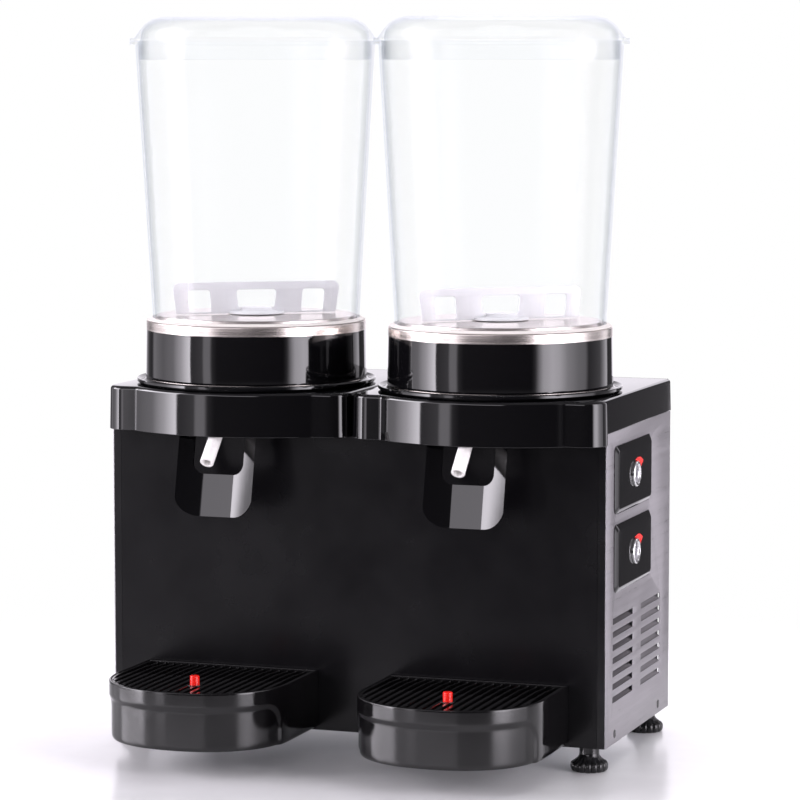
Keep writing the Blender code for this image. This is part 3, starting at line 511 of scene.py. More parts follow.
BLACK = (0.0018, 0.0017, 0.0021)
PAINT = (0.0022, 0.0020, 0.0026)
TRIM = (0.0030, 0.0029, 0.0032)
LOOKS = {
    name: make(name + "_look", *values)
    for name, make, *values in (
        ("gloss_black", glossy_plastic, BLACK),
        ("fascia_black", glossy_plastic, BLACK, 0.05),
        ("satin_black", satin_paint, PAINT, 0.24, 0.22),
        ("post_black", satin_paint, PAINT, 0.22, 0.30),
        ("black_trim", moulded_black, TRIM, 0.26),
        ("foot_black", moulded_black, TRIM, 0.18),
        ("tray_black", moulded_black, (0.0024, 0.0022, 0.0025), 0.12),
        ("grille_black", moulded_black, (0.0026, 0.0024, 0.0027), 0.18),
        ("stainless_panel", brushed_steel, (0.37, 0.355, 0.375), 0.30),
        ("stainless_ring", brushed_steel, (0.62, 0.57, 0.54), 0.22, True),
        ("galvanised", galvanised),
        ("clear", clear_plastic),
        ("paddle_white", milky_plastic, (0.66, 0.66, 0.675), 0.35, 0.10),
        ("silicone", milky_plastic, (0.80, 0.78, 0.765), 0.30, 0.20),
        ("gasket_white", soft_rubber, (0.66, 0.62, 0.59), 0.5),
        ("red", milky_plastic, (0.80, 0.012, 0.006), 0.28, 0.12),
        ("chrome", coated_metal, (0.82, 0.82, 0.83), 1.0, 0.14),
        ("knob_grey", coated_metal, (0.36, 0.36, 0.38), 0.85, 0.30),
        ("steel", coated_metal, (0.55, 0.56, 0.58), 1.0, 0.26),
        ("black_metal", coated_metal, (0.020, 0.020, 0.022), 0.0, 0.42),
        ("magnet", coated_metal, (0.10, 0.10, 0.105), 0.4, 0.5),
        ("copper", coated_metal, (0.78, 0.36, 0.20), 1.0, 0.30),
        ("fins", coated_metal, (0.70, 0.71, 0.72), 1.0, 0.34),
        ("foam", foam),
    )
}


# ---------------------------------------------------------------- helpers that cut one mesh with another
def carved(mesh, other, operation="DIFFERENCE"):
    """A new mesh: the first one cut by, joined to or kept inside the other."""
    target, tool = linked(mesh), linked(other)
    modifier = target.modifiers.new("carve", "BOOLEAN")
    modifier.operation = operation
    modifier.object = tool
    made = evaluated_mesh(target)
    for helper in (target, tool):
        bpy.data.objects.remove(helper, do_unlink=True)
    return made


def moved(mesh, matrix):
    mesh.transform(matrix)
    return mesh


def rod(radius, low, high, steps=32, edge=0.0):
    """A cylinder between two points, with rounded ends."""
    low, high = Vector(low), Vector(high)
    length = (high - low).length
    profile = [(0, 0), *(arc((radius - edge, edge), edge, -90, 0, 3) if edge else [(radius, 0)])]
    top = [(r, length - z) for r, z in reversed(profile)]
    mesh = turned(profile + top, steps, closed=False)
    turn = (high - low).to_track_quat("Z", "Y").to_matrix().to_4x4()
    return moved(mesh, Matrix.Translation(low) @ turn)


SIDEWAYS = Matrix.Rotation(math.pi / 2, 4, "Z") @ Matrix.Rotation(math.pi / 2, 4, "X")


# ---------------------------------------------------------------- top covers
COVER_WALL = 0.0025
COVER_EDGE = 0.0042
COVER_DRAFT = 0.0009
SKIRT_BOTTOM = PANEL_TOP + 0.0002
BULGE_FRONT = STATIONS["right"].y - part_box("top_cover_right")[0].y
BULGE_RADIUS = 0.173
BULGE_CENTRE = BULGE_RADIUS - BULGE_FRONT
FASCIA_REACH = 0.025
CORNER_RADIUS = 0.024
CREASE_FILLET = 0.006


def cover_outline(side):
    """Plan of one cover about its bowl axis: square back, bowed front, and a step point at the panel."""
    low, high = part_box("top_cover_" + side)
    left, right = low.x - STATIONS[side].x, high.x - STATIONS[side].x
    rear, flat, face = high.y - STATIONS[side].y, -FASCIA_REACH - STATION_DEPTH, -STATION_DEPTH
    rear_round, corner = 0.003, CORNER_RADIUS
    fillet_y = flat - CREASE_FILLET
    drop = BULGE_CENTRE - fillet_y
    fillet_x = math.sqrt((BULGE_RADIUS + CREASE_FILLET) ** 2 - drop**2)
    crease = math.degrees(math.atan2(drop, fillet_x))
    points = arc((right - rear_round, rear - rear_round), rear_round, 0, 90, 4)
    points += arc((left + rear_round, rear - rear_round), rear_round, 90, 180, 4)
    points += [(left, face), (left, face - 0.0002)]
    points += arc((left + corner, flat + corner), corner, 180, 270, 14)
    points += arc((-fillet_x, fillet_y), CREASE_FILLET, 90, crease, 6)
    points += arc((0, BULGE_CENTRE), BULGE_RADIUS, 180 + crease, 360 - crease, 60)[1:-1]
    points += arc((fillet_x, fillet_y), CREASE_FILLET, 180 - crease, 90, 6)
    points += arc((right - corner, flat + corner), corner, 270, 360, 14)
    points += [(right, face - 0.0002), (right, face)]
    return points


def cover_rings(side):
    """Rings from the inside of the roof, down the inner wall, round the lip, up and over the top edge."""
    outline = cover_outline(side)
    bottoms = [FASCIA_BOTTOM if y < -STATION_DEPTH - 0.0001 else SKIRT_BOTTOM for _, y in outline]
    lip, roof = 0.0006, COVER_TOP - COVER_WALL

    def ring(distance, height=None, above_bottom=0.0):
        plan = inset(outline, distance)
        return [
            (x, y, low + above_bottom if height is None else height) for (x, y), low in zip(plan, bottoms)
        ]

    rings = [ring(COVER_WALL, roof), ring(COVER_WALL, None, lip)]
    rings += [ring(COVER_WALL - 0.3 * lip, None, 0.3 * lip), ring(COVER_WALL - lip, None)]
    rings += [ring(lip, None), ring(0.3 * lip, None, 0.3 * lip), ring(0, None, lip)]
    for inward, height in arc((COVER_EDGE, COVER_TOP - COVER_EDGE), COVER_EDGE, 180, 90, 8):
        rings.append(ring(COVER_DRAFT + inward, height))
    return rings


def top_cover(side):
    """Shell with a hole under the cold plate and one for the outlet."""
    shell = skin(cover_rings(side))
    holes = joined(
        rod(0.055, (0, 0, COVER_TOP - 0.02), (0, 0, COVER_TOP + 0.02), 48),
        rod(0.0115, (0, -OUTLET_REACH, COVER_TOP - 0.02), (0, -OUTLET_REACH, COVER_TOP + 0.02), 24),
    )
    shell = carved(shell, holes)
    part_of(side, "cover", shell, "top_cover", "gloss_black", "fascia_black", fixed=True, sharp=22)


# ---------------------------------------------------------------- what stands on each cover
OUTLET_REACH = 0.0952
COLLAR_RADIUS = 0.1198
PLATE_TOP = 0.4675
FLANGE_Z = 0.4617
BAND_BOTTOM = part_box("cold_plate_right")[0].z
COLLAR_BOTTOM, COLLAR_TOP = heights("collar_right")


def drip_gutter(side):
    """Ring with a shallow trough, a rolled lip and four small drain notches."""
    low, high = heights("drip_gutter_" + side)
    outer = 0.1307
    profile = [
        (0.1165, high - 0.0002),
        (0.1214, high - 0.0002),
        (0.1226, high - 0.0014),
        (0.1244, high - 0.0025),
        (0.1264, high - 0.0027),
        (0.128, high - 0.0019),
        (0.1292, high - 0.0005),
        (0.13, high),
        (outer - 0.0001, high - 0.0005),
        (outer, high - 0.0012),
        (outer, high - 0.003),
        (0.1296, high - 0.0042),
        (0.1275, low),
        (0.1165, low),
    ]

    def notched(radius, height, angle):
        near = min(
            abs((angle - math.radians(spot) + math.pi) % math.tau - math.pi)
            for spot in (45, 135, 225, 268, 315)
        )
        depth = max(0.0, 1 - (near / 0.022) ** 2) * 0.0014
        return (radius, height - depth) if radius > 0.1285 and height > high - 0.001 else (radius, height)

    mesh = turned(profile, 360, shape=notched)
    part_of(side, "gutter", mesh, "drip_gutter", "gloss_black", "gloss_black", fixed=True, sharp=32)


def collar(side):
    """Black ring that flares a little towards its foot."""
    wall, edge, foot = 0.003, 0.0008, 0.121
    outer = [
        (COLLAR_RADIUS, COLLAR_TOP), (foot, COLLAR_BOTTOM), (foot - wall, COLLAR_BOTTOM),
        (COLLAR_RADIUS - wall, COLLAR_TOP),
    ]
    mesh = turned(rounded(outer, edge), 192)
    part_of(side, "collar_ring", mesh, "collar", "gloss_black", "fascia_black", fixed=True)


def cold_plate(side):
    """Spun plate: domed spigot, shallow dished top, rolled shoulder and the brushed band, with the outlet."""
    skin_thick, edge = 0.001, 0.0012
    outer = [(0.0039, PLATE_TOP + 0.006), (0.004, PLATE_TOP), (0.108, PLATE_TOP), (0.1095, FLANGE_Z)]
    outer += [(COLLAR_RADIUS, FLANGE_Z), (COLLAR_RADIUS, BAND_BOTTOM)]
    inner = [(COLLAR_RADIUS - skin_thick, BAND_BOTTOM), (COLLAR_RADIUS - skin_thick, FLANGE_Z - skin_thick)]
    inner += [(0.1085, FLANGE_Z - skin_thick), (0.107, PLATE_TOP - skin_thick)]
    radii = [0.0009, 0.0006, 0.001, 0.0006, edge, 0.0003, 0.0003, 0.0006, 0.0005, 0.0005]
    profile = [(0, PLATE_TOP + 0.006), *outer, *inner, (0, PLATE_TOP - skin_thick)]
    mesh = spun(profile, [0, *radii, 0], 192)
    spout = rod(0.0044, (0, -OUTLET_REACH, PLATE_TOP - 0.083), (0, -OUTLET_REACH, PLATE_TOP - 0.0004))
    bore = rod(0.0033, (0, -OUTLET_REACH, 0.36), (0, -OUTLET_REACH, 0.49))
    mesh = carved(carved(mesh, spout, "UNION"), bore)
    part_of(side, "plate", mesh, "cold_plate", "stainless", "stainless_ring", fixed=True)


def bowl_gasket(side):
    """Seal under the bowl's foot, with a lip that leans on the bowl and slopes down to the collar."""
    low, high = heights("bowl_gasket_" + side)
    ledge = BOWL_FOOT - 0.0003
    profile = [(0.1102, low), (0.1102, ledge), (0.1133, ledge), (0.1134, high - 0.0002)]
    profile += [
        (0.114, high), (0.1154, high - 0.0012), (0.1182, low + 0.0011), (0.119, low + 0.0007),
        (0.119, low),
    ]
    mesh = turned(rounded(profile, 0.0003), 192)
    part_of(side, "gasket", mesh, "bowl_gasket", "gasket_white", "gasket_white", fixed=True)


def bowl(side):
    """Clear tapered wall with a shouldered, flat rim."""
    wall, top, shoulder = 0.0025, BOWL_TOP, BOWL_TOP - 0.0035
    profile = [
        (0.1128, BOWL_FOOT),
        (0.1289, 0.744),
        (0.1299, shoulder),
        (RIM_RADIUS, shoulder),
        (RIM_RADIUS, top),
        (0.1276, top),
        (0.1265, 0.744),
        (0.1128 - wall, BOWL_FOOT),
    ]
    radii = [0.001, 0.008, 0.0012, 0.0007, 0.0007, 0.0009, 0.008, 0.001]
    mesh = turned(rounded(profile, radii), 192)
    part_of(side, "clear_bowl", mesh, "bowl", "clear_plastic", "clear")


def lid(side):
    """Domed lid with a notched flange and a plug skirt that hangs inside the bowl."""
    low = BOWL_TOP + 0.0003
    wall = 0.002
    outer = [
        (0, LID_TOP), (0.104, LID_TOP - 0.0002), (0.112, LID_TOP - 0.0025), (0.119, 0.783), (0.125, 0.776),
    ]
    outer += [(0.1295, 0.7696), (0.1315, low + 0.0029), (RIM_RADIUS, low + 0.0027), (RIM_RADIUS, low)]
    inner = [(0.1262, low), (0.1258, low - 0.02), (0.1238, low - 0.02), (0.1242, low + 0.002)]
    inner += [(0.1228, 0.7754), (0.1172, 0.7816), (0.1108, 0.7858), (0.1034, 0.7877), (0, LID_TOP - wall)]
    radii = [0, 0.01, 0.008, 0.008, 0.008, 0.002, 0.001, 0.0008, 0.0008]
    radii += [0.0005, 0.0008, 0.0008, 0.002, 0.008, 0.008, 0.008, 0.008, 0]

    def notched(radius, height, angle):
        spot = (math.degrees(angle) + 22.5) % 45 - 22.5
        if radius > 0.132 and abs(spot) < 1.2:
            return radius - 0.0022, height
        return radius, height

    mesh = spun([*outer, *inner], radii, 360, notched)
    part_of(side, "clear_lid", mesh, "lid", "clear_plastic", "clear")


PADDLE_TURN = {"right": 39, "left": 33}


def paddle(side):
    """Stirring blade with three rounded windows, standing on a low domed hub."""
    low, high = heights("paddle_" + side)
    tall, band, thick = high - low, 0.0085, 0.0026
    half = [(0.0885, 0), (0.094, tall)]
    outline = rounded(half + [(-x, z) for x, z in reversed(half)], [0.001, 0.008, 0.008, 0.001], steps=8)
    top = tall - band
    middle = rounded([(0.02, 0.0055), (0.0225, top), (-0.0225, top), (-0.02, 0.0055)], 0.0034)
    holes = [middle]
    for sign in (1, -1):
        window = [(0.05, 0.0016), (0.074, 0.0016), (0.0765, top), (0.0515, top)]
        holes.append(rounded([(sign * x, z) for x, z in window], [0.0015, 0.0015, 0.0036, 0.0036]))
    blade = outline_mesh(outline, -thick / 2, thick / 2, holes, 0.00045)
    blade.transform(Matrix.Translation((0, 0, low)) @ Matrix.Rotation(math.pi / 2, 4, "X"))
    floor, roof, bore = PLATE_TOP + 0.0012, PLATE_TOP + 0.0078, 0.0044
    rim = floor + 0.0022
    hub = [(0, roof), (0.016, roof), (0.018, rim + 0.0008), (0.03, rim), (0.031, floor)]
    hub += [(bore, floor), (bore, PLATE_TOP + 0.0066), (0, PLATE_TOP + 0.0066)]
    hub_radii = [0, 0.0012, 0.0015, 0.0012, 0.0004, 0.0003, 0.0003, 0]
    mesh = carved(blade, spun(hub, hub_radii, 96), "UNION")
    mesh.transform(Matrix.Rotation(math.radians(PADDLE_TURN[side]), 4, "Z"))
    part_of(side, "stirrer", mesh, "paddle", "paddle_white", "paddle_white", sharp=40)


# ---------------------------------------------------------------- taps
def from_panel(depth, z, x=0.0):
    """A point in the station's frame from its depth behind the front panel's face."""
    return Vector((x, depth - STATION_DEPTH, z))


def tap_route():
    """The tube's middle line: down from the outlet, a bend, and a slightly bowed run forward and down."""
    start, bend, bend_z, drop = STATION_DEPTH - OUTLET_REACH, 0.02, 0.376, 0.0425
    flat = [(start, 0.4), (start, 0.388)]
    flat += arc((start - bend, bend_z), bend, 0, -45, 14)
    depth, z = flat[-1]
    for share in (0.25, 0.5, 0.75, 1.0):
        sag = 0.0006 * math.sin(math.pi * share)
        flat.append((depth - drop * share + sag, z - drop * share + sag))
    return [from_panel(depth, z) for depth, z in flat]


def frames_along(path):
    """For each point of a route in the Y-Z plane: the point, the side direction and the up direction."""
    side = Vector((1, 0, 0))
    for i, point in enumerate(path):
        along = (path[min(i + 1, len(path) - 1)] - path[max(i - 1, 0)]).normalized()
        yield point, side, side.cross(along)


def tap_tube(side):
    """Silicone tube with a real bore, its end cut square and its cut edges softened."""
    outer, inner, sides = 0.00725, 0.0046, 40
    frames = list(frames_along(tap_route()))

    def ring(frame, radius, slide=0.0):
        point, side_way, up = frame
        along = up.cross(side_way)
        centre = point + along * slide
        return [
            centre + side_way * radius * math.cos(a) + up * radius * math.sin(a)
            for a in (math.tau * k / sides for k in range(sides))
        ]

    soft = 0.0005
    rings = [ring(frame, outer) for frame in frames[:-1]]
    last = frames[-1]
    rings += [ring(last, outer, -soft), ring(last, outer - 0.3 * soft, -0.3 * soft), ring(last, outer - soft)]
    rings += [ring(last, inner + soft), ring(last, inner + 0.3 * soft, -0.3 * soft), ring(last, inner, -soft)]
    rings += [ring(frame, inner) for frame in reversed(frames[:-1])]
    mesh = skin(rings, closed_loop=True)
    part_of(side, "pour_tube", mesh, "tap_tube", "silicone", "silicone", fixed=True, sharp=50)


PIVOT = (-0.02, 0.352)
LEVER_TILT = math.radians(12.5)


def lever_section():
    """Plan of the lever's plate: a flat middle with a crease each side, and wings that sweep forward."""
    flat, sweep, bow, thick = 0.015, 0.0125, 1.22, 0.003
    front = [(flat, 0.0)]
    for i in range(1, 13):
        share = i / 12
        front.append((flat + 0.029 * share, -sweep * share**bow))
    back = [(0.044 - 0.0014, -sweep + 0.0027)]
    for i in range(10, -1, -1):
        share = i / 11
        back.append((flat + 0.0269 * share, -0.93 * sweep * share**bow + thick))
    right = front + back
    return right + [(-x, y) for x, y in reversed(right)]


def lever_silhouette():
    """Front view: a round-cornered pad below two arms, either side of the slot the tube hangs in."""
    half, slot, drop, slot_drop, top = 0.045, 0.029, 0.0955, 0.05, 0.006
    pad = 0.024
    right = [(slot, top), (half - 0.002, top), (half, -0.03)]
    right += arc((half - pad, -drop + pad), pad, 0, -90, 20)
    left = [(-x, z) for x, z in reversed(right)]
    notch_round = 0.012
    notch = arc((-slot + notch_round, -slot_drop + notch_round), notch_round, 180, 270, 12)
    notch += arc((slot - notch_round, -slot_drop + notch_round), notch_round, 270, 360, 12)
    return right + left + notch


def tap_lever(side):
    """Push lever: creased plate, pivot bosses and the pinch bar above the pin. Its origin is on the pin."""
    lean = Matrix.Translation((0, -0.0055, 0)) @ Matrix.Rotation(-LEVER_TILT, 4, "X")
    plate = outline_mesh(lever_section(), -0.12, 0.01)
    shape = outline_mesh(lever_silhouette(), -0.03, 0.03)
    plate = carved(plate, moved(shape, Matrix.Rotation(math.pi / 2, 4, "X")), "INTERSECT")
    plate.transform(lean)
    bar, reach, half = Vector((0, -0.013, 0.0216)), 0.029, 0.003
    fittings = [rod(0.006, (x - 0.009, 0, 0), (x + 0.009, 0, 0), 48, 0.0005) for x in (0.035, -0.035)]
    fittings.append(rod(half, (-reach - half, bar.y, bar.z), (reach + half, bar.y, bar.z), 32))
    tilt = Matrix.Rotation(math.atan2(-bar.y, bar.z), 4, "X")
    for x in (reach, -reach):
        fittings.append(moved(boxes(((x - half, -half, -0.002), (x + half, half, bar.length))), tilt))
    for fitting in fittings:
        plate = carved(plate, fitting, "UNION")
    plate = carved(plate, rod(0.0028, (-0.05, 0, 0), (0.05, 0, 0), 32))
    pin = from_panel(*PIVOT)
    part_of(
        side, "lever", plate, "tap_lever", "gloss_black", "gloss_black", offset=pin, sharp=30, bevel=0.0005,
    )


# ---------------------------------------------------------------- drip trays
TRAY_LOW, TRAY_RIM = heights("drip_tray_right")
TRAY_HALF = (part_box("drip_tray_right")[1].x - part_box("drip_tray_right")[0].x) / 2
TRAY_REACH = PANEL_FACE_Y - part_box("drip_tray_right")[0].y
TRAY_SIDE = 0.083
TRAY_FLOOR = 0.0435
TRAY_WALL = 0.0025
TRAY_POWER = 2.2
RECESS = {"depth": 0.0023, "top": 0.0765, "radius": 0.025, "band": 0.006}


def tray_front(x, inward):
    """How far forward of the panel's face the tray's outline is at x."""
    half, reach = TRAY_HALF - inward, TRAY_REACH - TRAY_SIDE - inward
    return -TRAY_SIDE - (1 - min(abs(x) / half, 1) ** TRAY_POWER) ** (1 / TRAY_POWER) * reach


def tray_plan(steps=150):
    """The tray's outline, anticlockwise, with each point's distance along the front from its middle."""
    points = []
    for i in range(steps + 1):
        angle = math.pi * (1 + i / steps)
        across, along = math.cos(angle), math.sin(angle)
        x = math.copysign(abs(across) ** (2 / TRAY_POWER), across) * TRAY_HALF
        points.append((x, -TRAY_SIDE - abs(along) ** (2 / TRAY_POWER) * (TRAY_REACH - TRAY_SIDE)))
    rear = -0.0012
    side_run = [(TRAY_HALF, -TRAY_SIDE + (rear + TRAY_SIDE) * k / 5) for k in range(1, 6)]
    points = points + side_run + [(-x, y) for x, y in reversed(side_run)]
    lengths = [0.0]
    for before, after in zip(points, points[1 : steps + 1]):
        lengths.append(lengths[-1] + math.dist(before, after))
    middle = lengths[-1] / 2
    along_front = [abs(length - middle) for length in lengths] + [1.0] * (len(side_run) * 2)
    plan = [(x, y - STATION_DEPTH) for x, y in points]
    return plan, along_front, middle - 0.02


def recess(along, height, half_span):
    """How deep the front's sunk field is at a place on the wall: round-cornered, with a sloping border."""
    radius, top = RECESS["radius"], RECESS["top"]
    dx = max(along - (half_span - radius), 0.0)
    dz = max(height - (top - radius), 0.0)
    outside = math.hypot(dx, dz) - radius if dx > 0 and dz > 0 else max(along - half_span, height - top)
    share = max(0.0, min(1.0, -outside / RECESS["band"]))
    return RECESS["depth"] * share * share * (3 - 2 * share)


def tray_rings():
    """Rings from under the floor, out and up the front, over the rim, and down to the ledge and the floor."""
    plan, along_front, half_span = tray_plan()

    def ring(inward, height, sunk=False):
        deep = [recess(s, height, half_span) if sunk else 0.0 for s in along_front]
        return [(x, y, height) for x, y in inset(plan, [inward + d for d in deep])]

    under, lip = TRAY_FLOOR - TRAY_WALL, 0.0055
    rings = [ring(0.0025, under, True), ring(0.0025, TRAY_LOW + 0.0004, True)]
    for inward, height in arc((0, 0), 1, 270, 180, 6):
        rings.append(ring(0.0019 * (1 + inward), TRAY_LOW + lip * (1 + height), True))
    rows = 34
    for i in range(1, rows + 1):
        rings.append(ring(0, TRAY_LOW + lip + (TRAY_RIM - 0.0008 - TRAY_LOW - lip) * i / rows, True))
    ledge, inside, soft = TRAY_RIM - 0.005, 2 * TRAY_WALL, 0.0003
    rest = arc((0.0008, TRAY_RIM - 0.0008), 0.0008, 180, 90, 4)[1:]
    rest += arc((TRAY_WALL - 0.0006, TRAY_RIM - 0.0006), 0.0006, 90, 0, 4)
    rest += [(TRAY_WALL, ledge + soft), (TRAY_WALL + soft, ledge), (inside - soft, ledge)]
    rest += [(inside, ledge - soft), (inside, TRAY_FLOOR + 0.0015), (inside + 0.0015, TRAY_FLOOR)]
    return rings + [ring(inward, height) for inward, height in rest]


def drip_tray(side):
    mesh = skin(tray_rings())
    notches = []
    for middle in (0.057, -0.057):
        low = from_panel(-0.01, TRAY_LOW - 0.01, middle - 0.009)
        notches.append((low, from_panel(0.01, TRAY_FLOOR - TRAY_WALL, middle + 0.009)))
    mesh = carved(mesh, boxes(*notches))
    part_of(side, "tray", mesh, "drip_tray", "tray_black", "tray_black", sharp=38)


GRILLE_PITCH = 0.0095
GRILLE_SLATS = 19
FLOAT_AT = (-0.123, 0.007)


def slat(x, top, low, inward):
    """One slat: thin and low at the back, a step down near the rear bar, broad in front of the kink."""
    rear, kink = -0.007, -0.076
    front = tray_front(x, inward) + 0.0015
    stations = [(rear, 2.2, -1.8), (-0.034, 2.3, -0.25), (-0.037, 2.4, 0.0), (kink, 2.5, 0.0)]
    stations += [(kink - 0.007, 4.6, 0.0), (front, 4.8, 0.0)]
    rings = []
    for y, width, rise in stations:
        half, high = width / 2 * MM, top + rise * MM
        cross = [(-half, low), (-half, high - 0.0005), (-half + 0.00045, high)]
        cross += [(half - 0.00045, high), (half, high - 0.0005), (half, low)]
        rings.append([(x + dx, y - STATION_DEPTH, z) for dx, z in cross])
    return rings


def drip_grille(side):
    """Rim that rests in the tray, a toothed rear bar, the slats, and a boss round the float."""
    plan, _, _ = tray_plan(110)
    inward, rim = TRAY_WALL + 0.0003, 0.003
    low, top = heights("drip_grille_" + side)[0], TRAY_RIM - 0.0004

    def ring(distance, height):
        return [(x, y, height) for x, y in inset(plan, distance)]

    edge = 0.0006
    rings = [ring(inward, low), ring(inward, top - edge), ring(inward + 0.3 * edge, top - 0.3 * edge)]
    rings += [ring(inward + edge, top), ring(inward + rim - edge, top)]
    rings += [ring(inward + rim, top - edge), ring(inward + rim, low)]
    depth, x = FLOAT_AT
    boss, hole = from_panel(depth, low, x), 0.0056
    clearance = rod(hole + 0.0015, boss - Vector((0, 0, 0.01)), boss + Vector((0, 0, 0.02)), 48)
    ring_profile = [(hole, low), (hole, top + 0.0003), (hole + 0.0026, top + 0.0003), (hole + 0.0026, low)]
    sleeve = moved(turned(rounded(ring_profile, 0.0004), 64), Matrix.Translation((boss.x, boss.y, 0)))
    parts = [skin(rings, closed_loop=True), sleeve]
    middle = (GRILLE_SLATS - 1) / 2
    bar_half = TRAY_HALF - inward - 0.001
    for i in range(GRILLE_SLATS):
        across = (i - middle) * GRILLE_PITCH
        blade = skin(slat(across, top, low + 0.0004, inward))
        parts.append(carved(blade, clearance.copy()) if abs(across - x) < hole + 0.004 else blade)
        tooth = from_panel(-0.0096, low + 0.0006, across - 0.0011)
        parts.append(boxes((tooth, from_panel(-0.005, top - 0.00005, across + 0.0011))))
    parts.append(boxes((from_panel(-0.0076, low, -bar_half), from_panel(-0.005, top, bar_half))))
    mesh, edges = joined(*parts), {"bevel": 0.00025, "bevel_steps": 1}
    part_of(side, "grille", mesh, "drip_grille", "tray_black", "grille_black", **edges)


def level_float(side):
    """Red stem on a buoyant disc."""
    low, high = heights("level_float_" + side)
    stem, disc = 0.005, 0.012
    profile = [
        (0, high), (stem, high - 0.0004), (stem, low + disc), (disc, low + disc), (disc, low), (0, low),
    ]
    mesh = spun(profile, [0, 0.0012, 0.0006, 0.001, 0.001, 0], 64)
    depth, x = FLOAT_AT
    part_of(side, "float", mesh, "level_float", "red_plastic", "red", offset=from_panel(depth, 0, x))


# ---------------------------------------------------------------- side panels, switches and feet
LOUVRE = {"length": 0.079, "pitch": 0.0139, "rows": 7, "top": 0.1537, "height": 0.0062}
LOUVRE_DEPTHS = (0.0665, 0.1785)
BEZEL_LENGTH, BEZEL_HEIGHT = 0.142, 0.072
SCREW_DEPTHS, SCREW_Z = (0.036, 0.213), 0.036


def louvre_places():
    for depth in LOUVRE_DEPTHS:
        for row in range(LOUVRE["rows"]):
            yield depth, LOUVRE["top"] - row * LOUVRE["pitch"]


def louvre_flap(depth, z):
    """A strip bent inwards from a slot's lower edge, as (inward, height) rings along its length."""
    skin_thick = 0.001
    bend = [(0.3, -0.4), (1.0, 0.1), (2.2, 1.2), (3.6, 2.7), (5.2, 4.5)]
    outer = [(a * MM, b * MM) for a, b in bend]
    inner = [(a + 0.5 * skin_thick, b - 0.8 * skin_thick) for a, b in reversed(outer)]
    start, end = depth - LOUVRE["length"] / 2 + 0.0004, depth + LOUVRE["length"] / 2 - 0.0004
    return [[(-a, y, z + b) for a, b in outer + inner] for y in (start, end)]


def side_panel(side, sign):
    """Brushed sheet with pressed louvres and a folded rear edge, modelled for +X and mirrored for -X."""
    low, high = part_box("side_panel_" + side)
    front, rear = low.y - PANEL_FACE_Y, high.y - PANEL_FACE_Y
    plan = [(front, low.z), (rear, low.z), (rear, high.z), (front, high.z)]
    holes = []
    half = LOUVRE["length"] / 2
    for depth, z in louvre_places():
        slot = [
            (depth - half, z), (depth + half, z), (depth + half, z + LOUVRE["height"]),
            (depth - half, z + LOUVRE["height"]),
        ]
        holes.append(rounded(slot, 0.0005, steps=2))
    if side == "right":
        for level in ("upper", "lower"):
            box_low, box_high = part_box("bezel_" + level)
            y, z = (box_low.y + box_high.y) / 2 - PANEL_FACE_Y, (box_low.z + box_high.z) / 2
            cut_out = rounded_rectangle(BEZEL_LENGTH / 2 - 0.006, BEZEL_HEIGHT / 2 - 0.006, 0.003)
            holes.append([(y + a, z + b) for a, b in cut_out])
    sheet = 0.0012
    panel = outline_mesh(rounded(plan, 0.0008), -sheet, 0.0, holes, 0.00025)
    panel.transform(SIDEWAYS)
    fold = boxes(((-0.01, rear - sheet, low.z), (-0.0003, rear - 0.00005, high.z)))
    flaps = [skin(louvre_flap(*place)) for place in louvre_places()]
    mesh = joined(panel, fold, *flaps)
    if sign < 0:
        mesh.transform(Matrix.Diagonal((-1, 1, 1, 1)))
        mesh.flip_normals()
    at = (MIDDLE_X + sign * BODY_HALF, PANEL_FACE_Y, 0)
    piece(
        "panel_" + side, mesh, "machine", "stainless", "stainless_panel", "side_panel_" + side, at,
        sharp=30,
    )


def panel_screws(side, sign):
    """Black domed cross-head screws through the lower corners of a side panel."""
    proud, radius = 0.0007, 0.0046
    for index, depth in enumerate(SCREW_DEPTHS):
        profile = [
            (0, proud), (radius * 0.6, proud * 0.85), (radius * 0.92, proud * 0.45), (radius, 0.00005),
            (radius, -0.0002), (0, -0.0002),
        ]
        head = spun(profile, 0.0002, 48)
        arm, wide = radius * 0.55, 0.00055
        cross = boxes(
            ((-arm, -wide, proud - 0.0005), (arm, wide, 0.001)),
            ((-wide, -arm, proud - 0.0005), (wide, arm, 0.001)),
        )
        head = carved(head, cross)
        head.transform(Matrix.Rotation(sign * math.pi / 2, 4, "Y"))
        at = (MIDDLE_X + sign * BODY_HALF, PANEL_FACE_Y + depth, SCREW_Z)
        piece(f"panel_screw_{side}_{index}", head, "machine", "black_metal", "foot_black", at=at)


